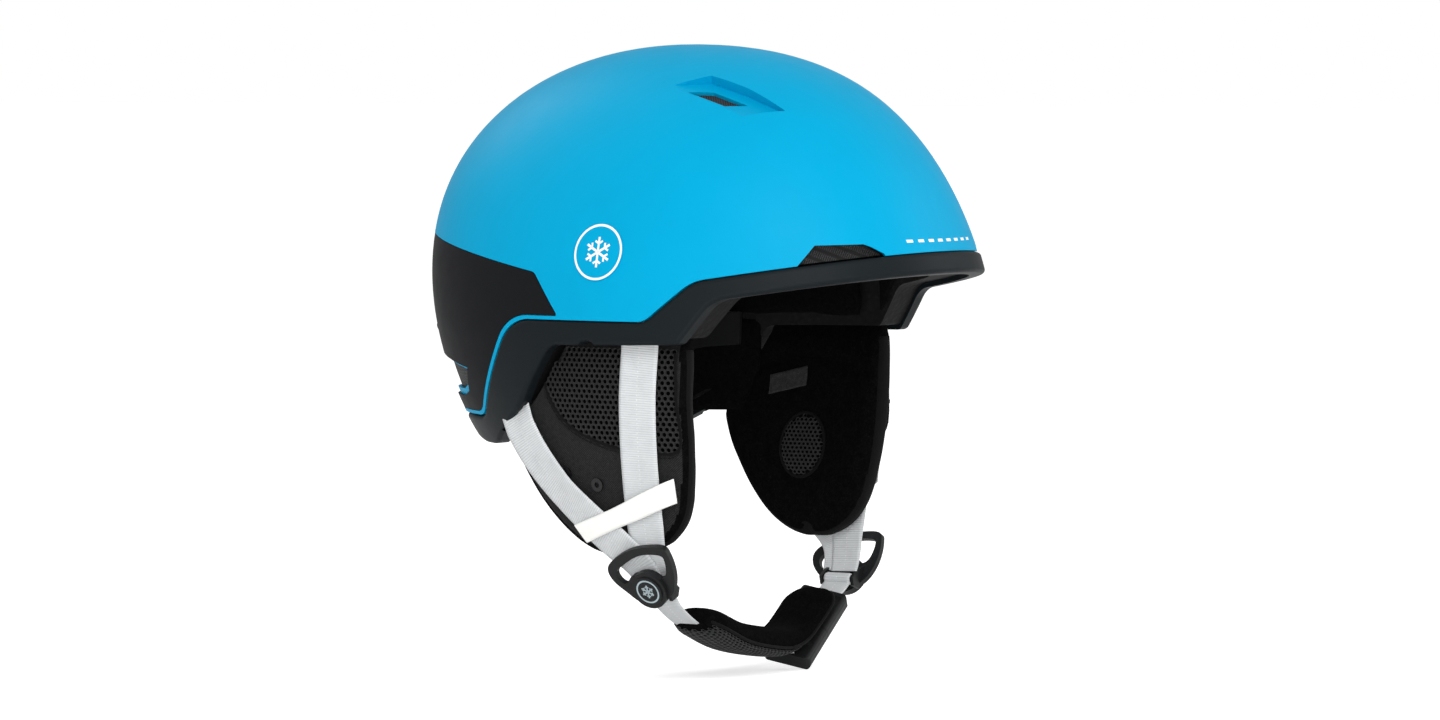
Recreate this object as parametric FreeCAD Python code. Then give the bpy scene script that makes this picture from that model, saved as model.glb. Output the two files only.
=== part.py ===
import FreeCAD, Part
import math
import os

# Ski helmet.  Millimetres.  Front is -Y, the wearer's left is +X, up is +Z.
# The origin is the middle of the axis that joins the two ears.

V = FreeCAD.Vector
X_AXIS = V(1, 0, 0)
Y_AXIS = V(0, 1, 0)
Z_AXIS = V(0, 0, 1)

# ---- driving dimensions ----------------------------------------------------

HALF_WIDTH = 108.7
WIDTH_POWER = 2.21
# distance of the shell from the ear axis in the middle plane, by the angle
# in degrees from straight ahead, over the top, to the back
SIDE_RADII = [(-62, 136), (-30, 137.5), (0, 138.5), (30, 139), (60, 143), (90, 142.5),
              (120, 151), (148, 155.5), (180, 136), (210, 118.5), (242, 110)]
SHELL_THICK = 3.0
PANEL_THICK = 1.4
RIM_PROUD = 0.9
RIM_PROUD_FROM = -25.0
RIM_PROUD_FULL = -95.0
RIM_ROUND = 2.0
RIM_FLANGE_DEPTH = 7.0
RIM_FLANGE_THICK = 2.5
SEAM = 0.35
LINER_OUT = 3.1
LINER_IN = 25.0
COMFORT_OUT = 25.2
COMFORT_IN = 31.0
FAR = 175.0

# side outlines as (y, z, corner radius), drawn from the front to the back
RIM_TOP = [(-FAR, 53.3, 0), (-52.2, 33.2, 20), (-30.2, 14.2, 9), (46.5, 14.3, 22),
           (74.5, -33, 8), (FAR, -33, 0)]
RIM_BOTTOM = [(-FAR, 43.0, 0), (-61.6, 24.5, 14), (-46.6, 4.1, 4), (21.5, 2.7, 9),
              (43.5, -27, 20), (71, -46.5, 12), (84, -46.5, 15), (FAR, -31, 0)]
PANEL_TOP = [(17.4, 17.5, 0), (32.2, 36.5, 5), (125, 53, 0), (FAR, 60, 0)]
PANEL_LIP = 2.0

BADGE_Y = -3.6
BADGE_Z = 46.3
BADGE_R = 13.3

# ear pads, drawn for the right-hand side and mirrored for the left
PAD_X = 98.0
PAD_THICK = 13.0
PAD_TUCK = 14.0
PAD_TUCK_FROM = -20.0
PAD_TUCK_RUN = 75.0
PAD_WRAP = 0.0032
PAD_WRAP_Y = -5.0
SPEAKER_Y = -1.3
SPEAKER_Z = -54.0
SPEAKER_R = 19.0
SPEAKER_FRONT = 5.0
EAR_HINGE_X = -91.5
EAR_HINGE_Z = -4.0
STRAP_WIDE = 20.0
STRAP_THICK = 1.5
STRAP_END_Z = -98.5

# chin strap and buckle
CHIN_Y = -22.0
WEB_Y0 = -27.2
WEB_Y1 = -11.8
BAR_X = -76.4
BAR_Z = -111.5
BAR_R = 1.5
LOOP_GAP = 0.06
LOOP_R = 2.9
CHIN_PATH = [(-74.6, -113.0), (-67, -120.8), (-50, -130.3), (-22, -139.5), (2, -141.5),
             (17, -143), (34.0, -151.3)]
BUCKLE_START = (30.5, -152.6)
BUCKLE_TILT = 38.0
BUCKLE_ROLL = 14.0
BUCKLE_LONG = 46.0
BUCKLE_SPLIT = 21.5
BUCKLE_WIDE = 25.0
BUCKLE_HIGH = 7.6
MAGNET_R = 2.6
MAGNET_LONG = 2.8
MAGNET_GAP = 0.1
MAGNET_LOWER_AT = BUCKLE_SPLIT - 4.2
MAGNET_UPPER_AT = BUCKLE_SPLIT + 1.2

# fit system at the nape
CRADLE_OUT = 33.5
CRADLE_THICK = 2.2
DIAL_Y = 92.4
DIAL_Z = -28.0
DIAL_TILT = 36.0
DIAL_R = 15.5
DIAL_THICK = 6.0
DIAL_GRIPS = 24
AXLE_R = 3.0
RUNNING_GAP = 0.05

# goggle strap clip at the back
CLIP_PIN_Y = 147.6
CLIP_PIN_Z = 6.0
CLIP_PIN_R = 1.6


# ---- small helpers ----------------------------------------------------------

def rounded_edges(corners, dy=0.0, dz=0.0):
    """Edges in the plane x = 0 through corners (y, z, radius)."""
    pts = [V(0, c[0] + dy, c[1] + dz) for c in corners]
    radii = [c[2] for c in corners]
    edges = []
    start = pts[0]
    for i in range(1, len(pts) - 1):
        before = (pts[i - 1] - pts[i]).normalize()
        after = (pts[i + 1] - pts[i]).normalize()
        if radii[i] <= 0:
            edges.append(Part.makeLine(start, pts[i]))
            start = pts[i]
            continue
        half = before.getAngle(after) / 2
        reach = radii[i] / math.tan(half)
        a = pts[i] + before * reach
        b = pts[i] + after * reach
        towards = (before + after).normalize()
        middle = pts[i] + towards * (radii[i] / math.sin(half) - radii[i])
        edges.append(Part.makeLine(start, a))
        edges.append(Part.Arc(a, middle, b).toShape())
        start = b
    edges.append(Part.makeLine(start, pts[-1]))
    return edges


def closed_face(edges):
    first = edges[0].valueAt(edges[0].FirstParameter)
    last = edges[-1].valueAt(edges[-1].LastParameter)
    if first.distanceToPoint(last) > 1e-6:
        edges = edges + [Part.makeLine(last, first)]
    return Part.Face(Part.Wire(edges))


def prism_x(edges, x0=-200.0, x1=200.0):
    """A closed side outline pushed along X."""
    face = closed_face(edges)
    face.translate(V(x0, 0, 0))
    return face.extrude(V(x1 - x0, 0, 0))


def above(corners, dy=0.0, dz=0.0):
    """Everything above a side outline."""
    edges = rounded_edges(corners, dy, dz)
    last = V(0, corners[-1][0] + dy, corners[-1][1] + dz)
    first = V(0, corners[0][0] + dy, corners[0][1] + dz)
    high_back = V(0, last.y, 260)
    high_front = V(0, first.y, 260)
    edges.append(Part.makeLine(last, high_back))
    edges.append(Part.makeLine(high_back, high_front))
    return prism_x(edges)


def smooth(points, closed=False):
    curve = Part.BSplineCurve()
    curve.interpolate(points, PeriodicFlag=closed)
    return curve.toShape()


def poly_prism(points, push):
    """A polygon of 3-D points pushed along a direction."""
    wire = Part.makePolygon(points + [points[0]])
    return Part.Face(wire).extrude(push)


def box(x0, x1, y0, y1, z0, z1):
    return Part.makeBox(x1 - x0, y1 - y0, z1 - z0, V(x0, y0, z0))


def rod(start, direction, radius, length):
    return Part.makeCylinder(radius, length, start, direction)


def mirrored(shape):
    return shape.mirror(V(0, 0, 0), X_AXIS)


def both_sides(shape):
    return Part.makeCompound([shape, mirrored(shape)])


def biggest(shape):
    return max(shape.Solids, key=lambda s: s.Volume)


def soften(shape, radius, chosen):
    """Round the chosen edges, or as many of them as the kernel can."""
    edges = [e for e in shape.Edges if chosen(e)]
    for r in (radius, radius * 0.6, radius * 0.35):
        try:
            done = shape.makeFillet(r, edges)
            if done.isValid() and done.Volume > 0:
                return done
        except Exception:
            pass
    return shape


# ---- dome -------------------------------------------------------------------

def side_curve():
    curve = Part.BSplineCurve()
    points = [V(a, r, 0) for a, r in SIDE_RADII]
    curve.interpolate(Points=points, Parameters=[float(a) for a, r in SIDE_RADII])
    return curve


RADIUS_AT = side_curve()
ANGLES = [-60 + 10 * i for i in range(31)]
SWEEPS = [-88 + 8 * i for i in range(23)]


def side_radius(angle):
    return RADIUS_AT.value(float(angle)).y


def rim_bulge(y):
    t = (RIM_PROUD_FROM - y) / (RIM_PROUD_FROM - RIM_PROUD_FULL)
    t = max(0.0, min(1.0, t))
    return 0.3 + (RIM_PROUD - 0.3) * t * t * (3 - 2 * t)


def dome_point(angle, sweep, depth, proud):
    s = math.sin(math.radians(sweep))
    c = (1 - abs(s) ** WIDTH_POWER) ** 0.5
    a = math.radians(angle)
    if proud:
        depth = depth - rim_bulge(-side_radius(angle) * c * math.cos(a))
    x = (HALF_WIDTH - depth) * s
    r = (side_radius(angle) - depth) * c
    return V(x, -r * math.cos(a), r * math.sin(a))


def dome_surface(depth, proud=False):
    grid = [[dome_point(a, s, depth, proud) for s in SWEEPS] for a in ANGLES]
    surface = Part.BSplineSurface()
    surface.interpolate(grid)
    return surface


def layer_between(outer, inner):
    """Closed solid between two surfaces that share one parameter grid."""
    faces = [outer.toShape(), inner.toShape()]
    u0, u1, v0, v1 = outer.bounds()
    a0, a1, b0, b1 = inner.bounds()
    pairs = [(outer.uIso(u0), inner.uIso(a0)), (outer.uIso(u1), inner.uIso(a1)),
             (outer.vIso(v0), inner.vIso(b0)), (outer.vIso(v1), inner.vIso(b1))]
    for one, other in pairs:
        faces.append(Part.makeRuledSurface(one.toShape(), other.toShape()))
    shell = Part.makeShell(faces)
    shell.sewShape()
    solid = Part.Solid(shell)
    if solid.Volume < 0:
        solid.reverse()
    return solid


def layer(outer_depth, inner_depth, proud=False):
    return layer_between(dome_surface(outer_depth, proud), dome_surface(inner_depth))


# ---- shell ------------------------------------------------------------------

TOP_VENT = [V(-57, -14, 122.7), V(-46, -29, 127.5), V(-46, -50, 121.4), V(-46.4, -70, 112),
            V(-60, -55, 109.2), V(-59.3, -25, 119.2)]
TOP_VENT_HOLE = [V(-56.5, -23, 118), V(-51.8, -29, 119), V(-49.6, -33, 119),
                 V(-49.6, -51.5, 113), V(-56.5, -43.5, 112)]
TOP_VENT_OUT = V(-0.571, -0.275, 0.774).normalize()
TOP_VENT_DEEP = 5.0
TOP_VENT_BOSS = 9.0
FRONT_VENT = [(-76.5, 37.5), (-75.2, 40.9), (-68.3, 50), (-48.8, 50.4), (-45.7, 49.1),
              (-40.5, 45.9), (-38.5, 41.5)]
FRONT_VENT_OUT = V(-0.65, -0.76, 0)
FRONT_VENT_ACROSS = V(0.76, -0.65, 0)
FRONT_VENT_MIDDLE = V(-57, -108, 44)
FRONT_VENT_STRETCH = 1 / 0.82
REAR_VENT = [(-84.5, -11.5), (-79, -18.5), (-73, -21), (-8, -21), (-8, -4.5), (-60, -6.5), (-72, -8.5)]


def projected(point, on, normal, along):
    """The point moved along a direction until it lies in a plane."""
    return point + along * ((on - point).dot(normal) / along.dot(normal))


def grown(points, factor):
    middle = V(0, 0, 0)
    for p in points:
        middle = middle + p * (1 / len(points))
    return [middle + (p - middle) * factor for p in points]


def top_vent_floor():
    """A point and the normal of the sloping floor of the top vent recess."""
    low_back = TOP_VENT[5]
    low_front = TOP_VENT[4]
    deep = TOP_VENT[2] - TOP_VENT_OUT * TOP_VENT_DEEP
    normal = (low_front - low_back).cross(deep - low_back).normalize()
    return low_back, normal


def top_vent_prism(points, factor, lift, height):
    on, normal = top_vent_floor()
    flat = [projected(p, on, normal, TOP_VENT_OUT) for p in grown(points, factor)]
    flat = [p + TOP_VENT_OUT * lift for p in flat]
    return poly_prism(flat, TOP_VENT_OUT * height)


def front_vent_prism(grow, reach_in, reach_out):
    points = []
    for x, z in FRONT_VENT:
        side = (x - FRONT_VENT_MIDDLE.x) * grow * FRONT_VENT_STRETCH
        level = (z - FRONT_VENT_MIDDLE.z) * grow
        point = FRONT_VENT_MIDDLE + FRONT_VENT_ACROSS * side + V(0, 0, level)
        points.append(point - FRONT_VENT_OUT * reach_in)
    return poly_prism(points, FRONT_VENT_OUT * (reach_in + reach_out))


def rear_vent_prism(grow_up, grow_down, grow_side, y0, y1):
    points = []
    for x, z in REAR_VENT:
        shift = grow_up if z > -14 else -grow_down
        side = -grow_side if x < -30 else grow_side
        points.append(V(x + side, y0, z + shift))
    return poly_prism(points, V(0, y1 - y0, 0))


def outer_shell():
    body = layer(0, SHELL_THICK)
    body = body.common(above(RIM_TOP, 0.2, SEAM))
    panel_pocket = layer(-1, PANEL_THICK).common(panel_region(0.0))
    body = body.cut(panel_pocket)
    boss = layer(SHELL_THICK - 0.2, TOP_VENT_BOSS).common(top_vent_prism(TOP_VENT, 1.16, -30, 60))
    body = body.fuse(both_sides(boss).Solids)
    for side in (1, -1):
        cutters = [top_vent_prism(TOP_VENT, 1.0, 0, 20),
                   top_vent_prism(TOP_VENT_HOLE, 1.0, -25, 40),
                   front_vent_prism(1.0, 12, 20),
                   rear_vent_prism(0, 0, 0, 60, 170)]
        for cutter in cutters:
            if side < 0:
                cutter = mirrored(cutter)
            body = body.cut(cutter)
    return biggest(body)


def panel_region(inset):
    """Side region of the black rear panel, with the blue lip left free below it."""
    upper = rounded_edges(PANEL_TOP, inset, -inset)
    start = V(0, PANEL_TOP[0][0] + inset, PANEL_TOP[0][1] - inset)
    end = V(0, PANEL_TOP[-1][0] + inset, PANEL_TOP[-1][1] - inset)
    low_end = V(0, end.y, -60)
    low_start = V(0, start.y, -60)
    upper.append(Part.makeLine(end, low_end))
    upper.append(Part.makeLine(low_end, low_start))
    upper.append(Part.makeLine(low_start, start))
    lip = PANEL_LIP + inset
    return prism_x(upper).common(above(RIM_TOP, lip * 0.75, lip))


def rear_shell_panel():
    body = layer(0.1, PANEL_THICK).common(panel_region(0.25))
    for cutter in both_sides(rear_vent_prism(1.2, 3.2, 1.2, 60, 170)).Solids:
        body = body.cut(cutter)
    return biggest(body)


def lower_rim():
    band = above(RIM_BOTTOM).cut(above(RIM_TOP))
    wall = biggest(layer(0, SHELL_THICK - 0.1, True).common(band))
    outer_face = max(wall.Faces, key=lambda f: f.Area)
    wall = wall.makeFillet(RIM_ROUND, outer_face.Edges)
    lip_band = above(RIM_BOTTOM).cut(above(RIM_BOTTOM, 0, RIM_FLANGE_THICK))
    flange = layer(SHELL_THICK - 0.3, RIM_FLANGE_DEPTH).common(lip_band)
    body = biggest(wall.fuse(flange).removeSplitter())
    for cutter in strap_pockets():
        body = body.cut(cutter)
    return biggest(body)


def impact_liner():
    body = layer(LINER_OUT, LINER_IN).common(above(RIM_BOTTOM, 0, RIM_FLANGE_THICK + 0.1))
    dial_room = box(-19, 19, 80, 109.5, -60, -9)
    cutters = [dial_room] + strap_pockets()
    vents = [layer(0, TOP_VENT_BOSS + 0.2).common(top_vent_prism(TOP_VENT, 1.2, -30, 60)),
             top_vent_prism(TOP_VENT_HOLE, 1.0, -45, 60),
             front_vent_prism(1.04, 17, 20),
             rear_vent_prism(0.5, 0.5, 0.5, 60, 170).common(layer(0, 9)),
             rear_vent_prism(0.5, 0.5, 0.5, 96, 170)]
    for vent in vents:
        cutters += both_sides(vent).Solids
    for x in (-34, 0, 34):
        cutters.append(layer(19, 30).common(box(x - 5, x + 5, -128, 110, 48, 150)))
    for cutter in cutters:
        body = body.cut(cutter)
    return biggest(body)


def top_vent_mesh():
    plate = top_vent_prism(TOP_VENT_HOLE, 1.0, -3.0, 1.0)
    return both_sides(plate)


def front_vent_mesh():
    plate = front_vent_prism(1.0, 9, -7.5).common(layer(-1, 16))
    plate = biggest(plate.common(above(RIM_TOP, 0, 1.5)))
    return both_sides(plate)


def rear_vent_mesh():
    plate = rear_vent_prism(0, 0, 0, 60, 170).common(layer(3.4, 4.6))
    return both_sides(biggest(plate))


def side_badge():
    disc = rod(V(-130, BADGE_Y, BADGE_Z), X_AXIS, BADGE_R, 60)
    return biggest(layer(-0.4, 0).common(disc))


# ---- padding fixed inside the shell -----------------------------------------

def brow_pad():
    room = above(RIM_BOTTOM, 0, 4.5).cut(above(RIM_BOTTOM, 0, 28))
    body = layer(COMFORT_OUT, COMFORT_IN).common(room)
    body = body.common(box(-76, 76, -170, -48, -50, 90))
    return biggest(body)


def crown_pad():
    body = layer(COMFORT_OUT, COMFORT_IN).common(rod(V(0, 6, 60), Z_AXIS, 46, 100))
    for turn in (45, 135, 225, 315):
        a = math.radians(turn)
        hole = rod(V(25 * math.cos(a), 6 + 25 * math.sin(a), 60), Z_AXIS, 9, 100)
        body = body.cut(hole)
    return biggest(body)


def side_pads():
    body = layer(COMFORT_OUT, COMFORT_IN).common(box(-110, -20, -38, 62, 9, 62))
    body = body.common(above(RIM_BOTTOM, 0, 6))
    return both_sides(biggest(body))


# ---- side surface that the ear pads and straps follow -------------------------

def side_x(y, z, offset):
    tuck = 0.0
    if z < PAD_TUCK_FROM:
        tuck = PAD_TUCK * ((PAD_TUCK_FROM - z) / PAD_TUCK_RUN) ** 1.4
    wrap = PAD_WRAP * (y - PAD_WRAP_Y) ** 2
    return -(PAD_X - tuck - wrap + offset)


def side_layer(offset_out, offset_in):
    """Upright layer on the right-hand side, between two offsets from the pad face."""
    ys = [-60 + 12 * i for i in range(13)]
    zs = [-125 + 11 * i for i in range(15)]
    surfaces = []
    for offset in (offset_out, offset_in):
        grid = [[V(side_x(y, z, offset), y, z) for z in zs] for y in ys]
        surface = Part.BSplineSurface()
        surface.interpolate(grid)
        surfaces.append(surface)
    return layer_between(surfaces[0], surfaces[1])


def side_outline(points):
    """Smooth closed outline in (y, z) pushed through the whole side."""
    edge = smooth([V(-140, y, z) for y, z in points], closed=True)
    return Part.Face(Part.Wire([edge])).extrude(V(100, 0, 0))


def side_polygon(points):
    return poly_prism([V(-140, y, z) for y, z in points], V(100, 0, 0))


PAD_OUTLINE = [(-44, 6), (-44.5, -25), (-44, -45), (-42, -62), (-38, -77), (-28, -89),
               (-12, -95), (4, -94.5), (17, -89), (29, -80), (39, -69), (47, -56), (53, -40),
               (56, -10), (40, 20), (0, 26), (-36, 22)]
MESH_OUTLINE = [(-40, 10), (-40.5, -20), (-40.5, -44.5), (-24, -46.5), (-10, -45), (4, -41.5),
                (17, -36), (27, -27), (33, -14), (34, 10)]
BINDING_WIDE = 1.3


def below_rim():
    """Room under the rim; the slope behind the ear is left free for the flare."""
    whole = box(-140, -40, -80, 90, -130, 60)
    return whole.cut(above(RIM_BOTTOM, -1.6, -0.9))


def pad_column(outline_prism):
    """Cut an outline prism off under the rim and round it over the hinge axis."""
    low = box(-140, -40, -80, 90, -130, EAR_HINGE_Z)
    roll = rod(V(EAR_HINGE_X, -80, EAR_HINGE_Z), Y_AXIS, PAD_THICK / 2, 170)
    return outline_prism.common(low.fuse(roll)).common(below_rim())


def ear_pad():
    column = pad_column(side_outline(PAD_OUTLINE))
    body = side_layer(0, -PAD_THICK).common(column)
    speaker = rod(V(-100, SPEAKER_Y, SPEAKER_Z), X_AXIS, SPEAKER_R, 30)
    pocket = side_layer(-SPEAKER_FRONT, -PAD_THICK + 1).common(speaker)
    return biggest(body.cut(pocket))


def speaker_blank():
    disc = rod(V(-100, SPEAKER_Y, SPEAKER_Z), X_AXIS, SPEAKER_R - 0.4, 30)
    return biggest(side_layer(-SPEAKER_FRONT - 0.3, -PAD_THICK + 1.4).common(disc))


def grown_outline(points, distance):
    """Points of a closed outline moved out along its normal."""
    moved = []
    count = len(points)
    for i in range(count):
        dy = points[(i + 1) % count][0] - points[i - 1][0]
        dz = points[(i + 1) % count][1] - points[i - 1][1]
        size = math.hypot(dy, dz)
        moved.append((points[i][0] + dz / size * distance, points[i][1] - dy / size * distance))
    return moved


def ear_binding():
    outer = side_outline(grown_outline(PAD_OUTLINE, BINDING_WIDE))
    ring = outer.cut(side_outline(PAD_OUTLINE))
    ring = ring.common(box(-140, -40, -80, 90, -130, EAR_HINGE_Z - 3)).common(below_rim())
    return biggest(side_layer(0.3, -PAD_THICK - 0.3).common(ring))


def ear_mesh():
    column = side_polygon(MESH_OUTLINE).common(below_rim())
    column = column.common(box(-140, -40, -80, 90, -130, EAR_HINGE_Z))
    return biggest(side_layer(0.55, 0.0).common(column))


def ear_grille():
    disc = rod(V(-100, SPEAKER_Y, SPEAKER_Z), X_AXIS, 11.5, 30)
    return biggest(side_layer(-PAD_THICK, -PAD_THICK - 0.6).common(disc))


def ear_snaps():
    found = []
    for y, z in ((4.7, -62.7), (23.3, -58.2)):
        stud = rod(V(-120, y, z), X_AXIS, 3.2, 60).cut(rod(V(-120, y, z), X_AXIS, 1.3, 60))
        found.append(biggest(side_layer(1.1, 0).common(stud)))
    return Part.makeCompound(found)


def ear_tag():
    room = box(-100, -60, -4, 16, -27, -18)
    return biggest(side_layer(-PAD_THICK, -PAD_THICK - 0.5).common(room))


# ---- straps -------------------------------------------------------------------

def ribbon(points, widths):
    """Polygon round a bent centre line in (y, z), with a width at each point."""
    left = []
    right = []
    for i in range(len(points)):
        a = points[max(0, i - 1)]
        b = points[min(len(points) - 1, i + 1)]
        dy = b[0] - a[0]
        dz = b[1] - a[1]
        size = math.hypot(dy, dz)
        half = widths[i] / 2
        left.append((points[i][0] - dz / size * half, points[i][1] + dy / size * half))
        right.append((points[i][0] + dz / size * half, points[i][1] - dy / size * half))
    return left + right[::-1]


FRONT_STRAP = [(-24, 30), (-23.5, 0), (-22.5, -25), (-21.5, -50), (-20.5, -75), (-20, -104)]
REAR_STRAP = [(66, -6), (57, -24), (50, -38), (42, -52), (29, -67), (11, -81), (-8, -93.5),
              (-15.5, -106)]
FRONT_OFFSET = 0.75
REAR_OFFSET = 2.6
KEEPER_OFFSET = 4.3
KEEPER_OUTLINE = [(-39, -61.5), (-39.5, -73), (-20, -79.5), (12.5, -89.5), (19, -81.5), (-4, -74.5)]


def strap_tool(path, widths, low, high):
    return side_layer(high, low).common(side_polygon(ribbon(path, widths)))


def front_strap(extra=0.0, gap=0.0):
    widths = [STRAP_WIDE + extra] * 5 + [17 + extra]
    return strap_tool(FRONT_STRAP, widths, FRONT_OFFSET - gap, FRONT_OFFSET + STRAP_THICK + gap)


def rear_strap(extra=0.0, gap=0.0):
    widths = [STRAP_WIDE + extra] * 6 + [14 + extra, 8 + extra]
    return strap_tool(REAR_STRAP, widths, REAR_OFFSET - gap, REAR_OFFSET + STRAP_THICK + gap)


def strap_pockets():
    front = box(-103.4, -95.5, -34.8, -12.2, -5, 32)
    rear = biggest(rear_strap(2.4, 1.6))
    return [front, mirrored(front), rear, mirrored(rear)]


def strap_split_low():
    return box(-140, -40, -80, 90, STRAP_END_Z, 60).cut(above(RIM_BOTTOM, -1.6, -2.6))


def strap_front():
    return biggest(front_strap().common(strap_split_low()))


def strap_rear():
    return biggest(rear_strap().common(strap_split_low()))


def strap_root_front():
    web = front_strap().common(box(-140, -40, -80, 90, 3.4, 29))
    return biggest(web.cut(strap_rivets()))


def strap_root_rear():
    web = rear_strap().common(above(RIM_BOTTOM, 0, 0.5))
    return biggest(web.cut(strap_rivets()))


def strap_rivets():
    """One rivet for each of the four strap ends, under the liner."""
    front = rod(V(-102.4, -23.9, 20), X_AXIS, 2.5, 6.6)
    rear = rod(V(side_x(57, -24, REAR_OFFSET + STRAP_THICK + 0.4), 57, -24), X_AXIS, 2.0, 2.6)
    return Part.makeCompound([front, rear, mirrored(front), mirrored(rear)])


def strap_keeper():
    band = side_layer(KEEPER_OFFSET + 0.8, KEEPER_OFFSET)
    return biggest(band.common(side_polygon(KEEPER_OUTLINE)))


# ---- dividers, chin strap, buckle -----------------------------------------------

# divider outline and window as (y, distance down from its top rail)
DIVIDER_OUTLINE = [(-34.8, 1.0), (-35.9, 8), (-34.8, 17), (-30.5, 24.8), (-20.5, 29.6), (-12, 28.8),
                   (-6.8, 24.5), (-0.1, 17.5), (1.1, 12.5), (-5.3, 5.4), (-15.3, 0.6), (-26.3, -1.3)]
DIVIDER_WINDOW = [(-32.3, 4.6), (-32.0, 10), (-30.2, 14.2), (-20, 15.2), (-11, 15.4), (-6.5, 19.4),
                  (-3.1, 15.2), (-7.7, 9.6), (-16.3, 4.6), (-26.6, 2.6)]
DIVIDER_TOP = (-92.9, -91.0)
DIVIDER_TILT = 27.0
DIVIDER_THICK = 3.0
BOSS_Y = -19.9
BOSS_DOWN = 21.6
CHEEK = [(-85.0, -105.5), (-78, -107.4), (-73.4, -110.4), (-74.4, -114.4), (-79.4, -116.4)]
CHEEK_THICK = 1.7
CHEEK_GAP = 0.2
BOSS_R = 9.4
# the left divider hangs lower and further forward on its straps than the right one
LEFT_HANG = V(2.0, -3.0, -5.5)


def divider_frame(shape):
    """Turn a shape built flat, face towards -X and hanging down from z = 0, into place."""
    shape = shape.copy()
    shape.rotate(V(0, 0, 0), Y_AXIS, -DIVIDER_TILT)
    shape.translate(V(DIVIDER_TOP[0], 0, DIVIDER_TOP[1]))
    return shape


def divider_plate(points, x0, x1):
    edge = smooth([V(x0, y, -down) for y, down in points], closed=True)
    return Part.Face(Part.Wire([edge])).extrude(V(x1 - x0, 0, 0))


def divider():
    half = DIVIDER_THICK / 2
    plate = divider_plate(DIVIDER_OUTLINE, -half, half)
    plate = plate.cut(divider_plate(DIVIDER_WINDOW, -10, 10))
    plate = plate.fuse(rod(V(-half - 1.6, BOSS_Y, -BOSS_DOWN), X_AXIS, BOSS_R, DIVIDER_THICK + 1.2))
    body = divider_frame(plate)
    for y0 in (WEB_Y0 - CHEEK_GAP - CHEEK_THICK, WEB_Y1 + CHEEK_GAP):
        cheek = poly_prism([V(x, y0, z) for x, z in CHEEK], V(0, CHEEK_THICK, 0))
        body = body.fuse(cheek)
    reach = CHEEK_GAP + CHEEK_THICK
    body = body.fuse(rod(V(BAR_X, WEB_Y0 - reach, BAR_Z), Y_AXIS, BAR_R, WEB_Y1 - WEB_Y0 + 2 * reach))
    return biggest(body.removeSplitter())


def divider_cap():
    half = DIVIDER_THICK / 2
    return divider_frame(rod(V(-half - 2.3, BOSS_Y, -BOSS_DOWN), X_AXIS, 7.4, 0.7))


def path_curve(path):
    curve = Part.BSplineCurve()
    curve.interpolate([V(x, 0, z) for x, z in path])
    return curve


def strip_along(path, low, high, y0, y1):
    """Strip that follows a path in (x, z), between two offsets, from y0 to y1."""
    curve = path_curve(path)
    steps = 24
    sides = [[], []]
    for i in range(steps + 1):
        u = curve.FirstParameter + (curve.LastParameter - curve.FirstParameter) * i / steps
        t = curve.tangent(u)[0]
        normal = V(-t.z, 0, t.x)
        point = curve.value(u)
        sides[0].append(point + normal * low + V(0, y0, 0))
        sides[1].append(point + normal * high + V(0, y0, 0))
    lower = smooth(sides[0])
    upper = smooth(sides[1])
    edges = [lower, Part.makeLine(sides[0][-1], sides[1][-1]), upper,
             Part.makeLine(sides[1][0], sides[0][0])]
    wire = Part.Wire(Part.__sortEdges__(edges))
    return Part.Face(wire).extrude(V(0, y1 - y0, 0))


def web_loop(x):
    return rod(V(x, WEB_Y0, BAR_Z), Y_AXIS, LOOP_R, WEB_Y1 - WEB_Y0)


def chin_web_right():
    strip = strip_along(CHIN_PATH, -0.75, 0.75, WEB_Y0, WEB_Y1).fuse(web_loop(BAR_X))
    strip = strip.cut(rod(V(BAR_X, -60, BAR_Z), Y_AXIS, BAR_R + LOOP_GAP, 80))
    return biggest(strip.removeSplitter())


CHIN_PAD_PATH = [(-53, -127.1), (-22, -138.9), (2, -141.5), (19, -140), (31, -134), (42, -126.5)]


def chin_pad():
    body = strip_along(CHIN_PAD_PATH, -4.6, 4.6, CHIN_Y - 15, CHIN_Y + 13)
    body = soften(body, 3.0, lambda e: abs(e.tangentAt(e.FirstParameter).y) < 0.1 and e.Length > 40)
    sleeve = strip_along(CHIN_PATH, -0.95, 0.95, WEB_Y0 - 0.3, WEB_Y1 + 0.3)
    body = body.cut(sleeve)
    room = box(-0.6, BUCKLE_LONG + 5, -40, 40, -12, BUCKLE_HIGH / 2 + 0.5)
    past_split = box(BUCKLE_SPLIT - 0.5, BUCKLE_LONG + 5, -40, 40, -12, 40)
    return biggest(body.cut(buckle_frame(room.fuse(past_split))))


def buckle_frame(shape):
    """Turn a shape built along X at the origin into the buckle's place."""
    shape = shape.copy()
    shape.rotate(V(0, 0, 0), X_AXIS, BUCKLE_ROLL)
    shape.rotate(V(0, 0, 0), Y_AXIS, -BUCKLE_TILT)
    shape.translate(V(BUCKLE_START[0], CHIN_Y, BUCKLE_START[1]))
    return shape


def buckle_block(s0, s1, grow):
    half = BUCKLE_HIGH / 2
    block = box(s0 - grow, s1 + grow, -BUCKLE_WIDE / 2 - grow, BUCKLE_WIDE / 2 + grow,
                -half - grow, half + grow)
    return buckle_frame(block)


def buckle_half(s0, s1, web_end):
    half = BUCKLE_HIGH / 2
    block = box(s0, s1, -BUCKLE_WIDE / 2, BUCKLE_WIDE / 2, -half, half)
    block = soften(block, 2.4, lambda e: abs(e.tangentAt(e.FirstParameter).y) < 0.1 and
                   abs(e.CenterOfMass.x - web_end) < abs(s1 - s0) * 0.9)
    return block


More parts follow.
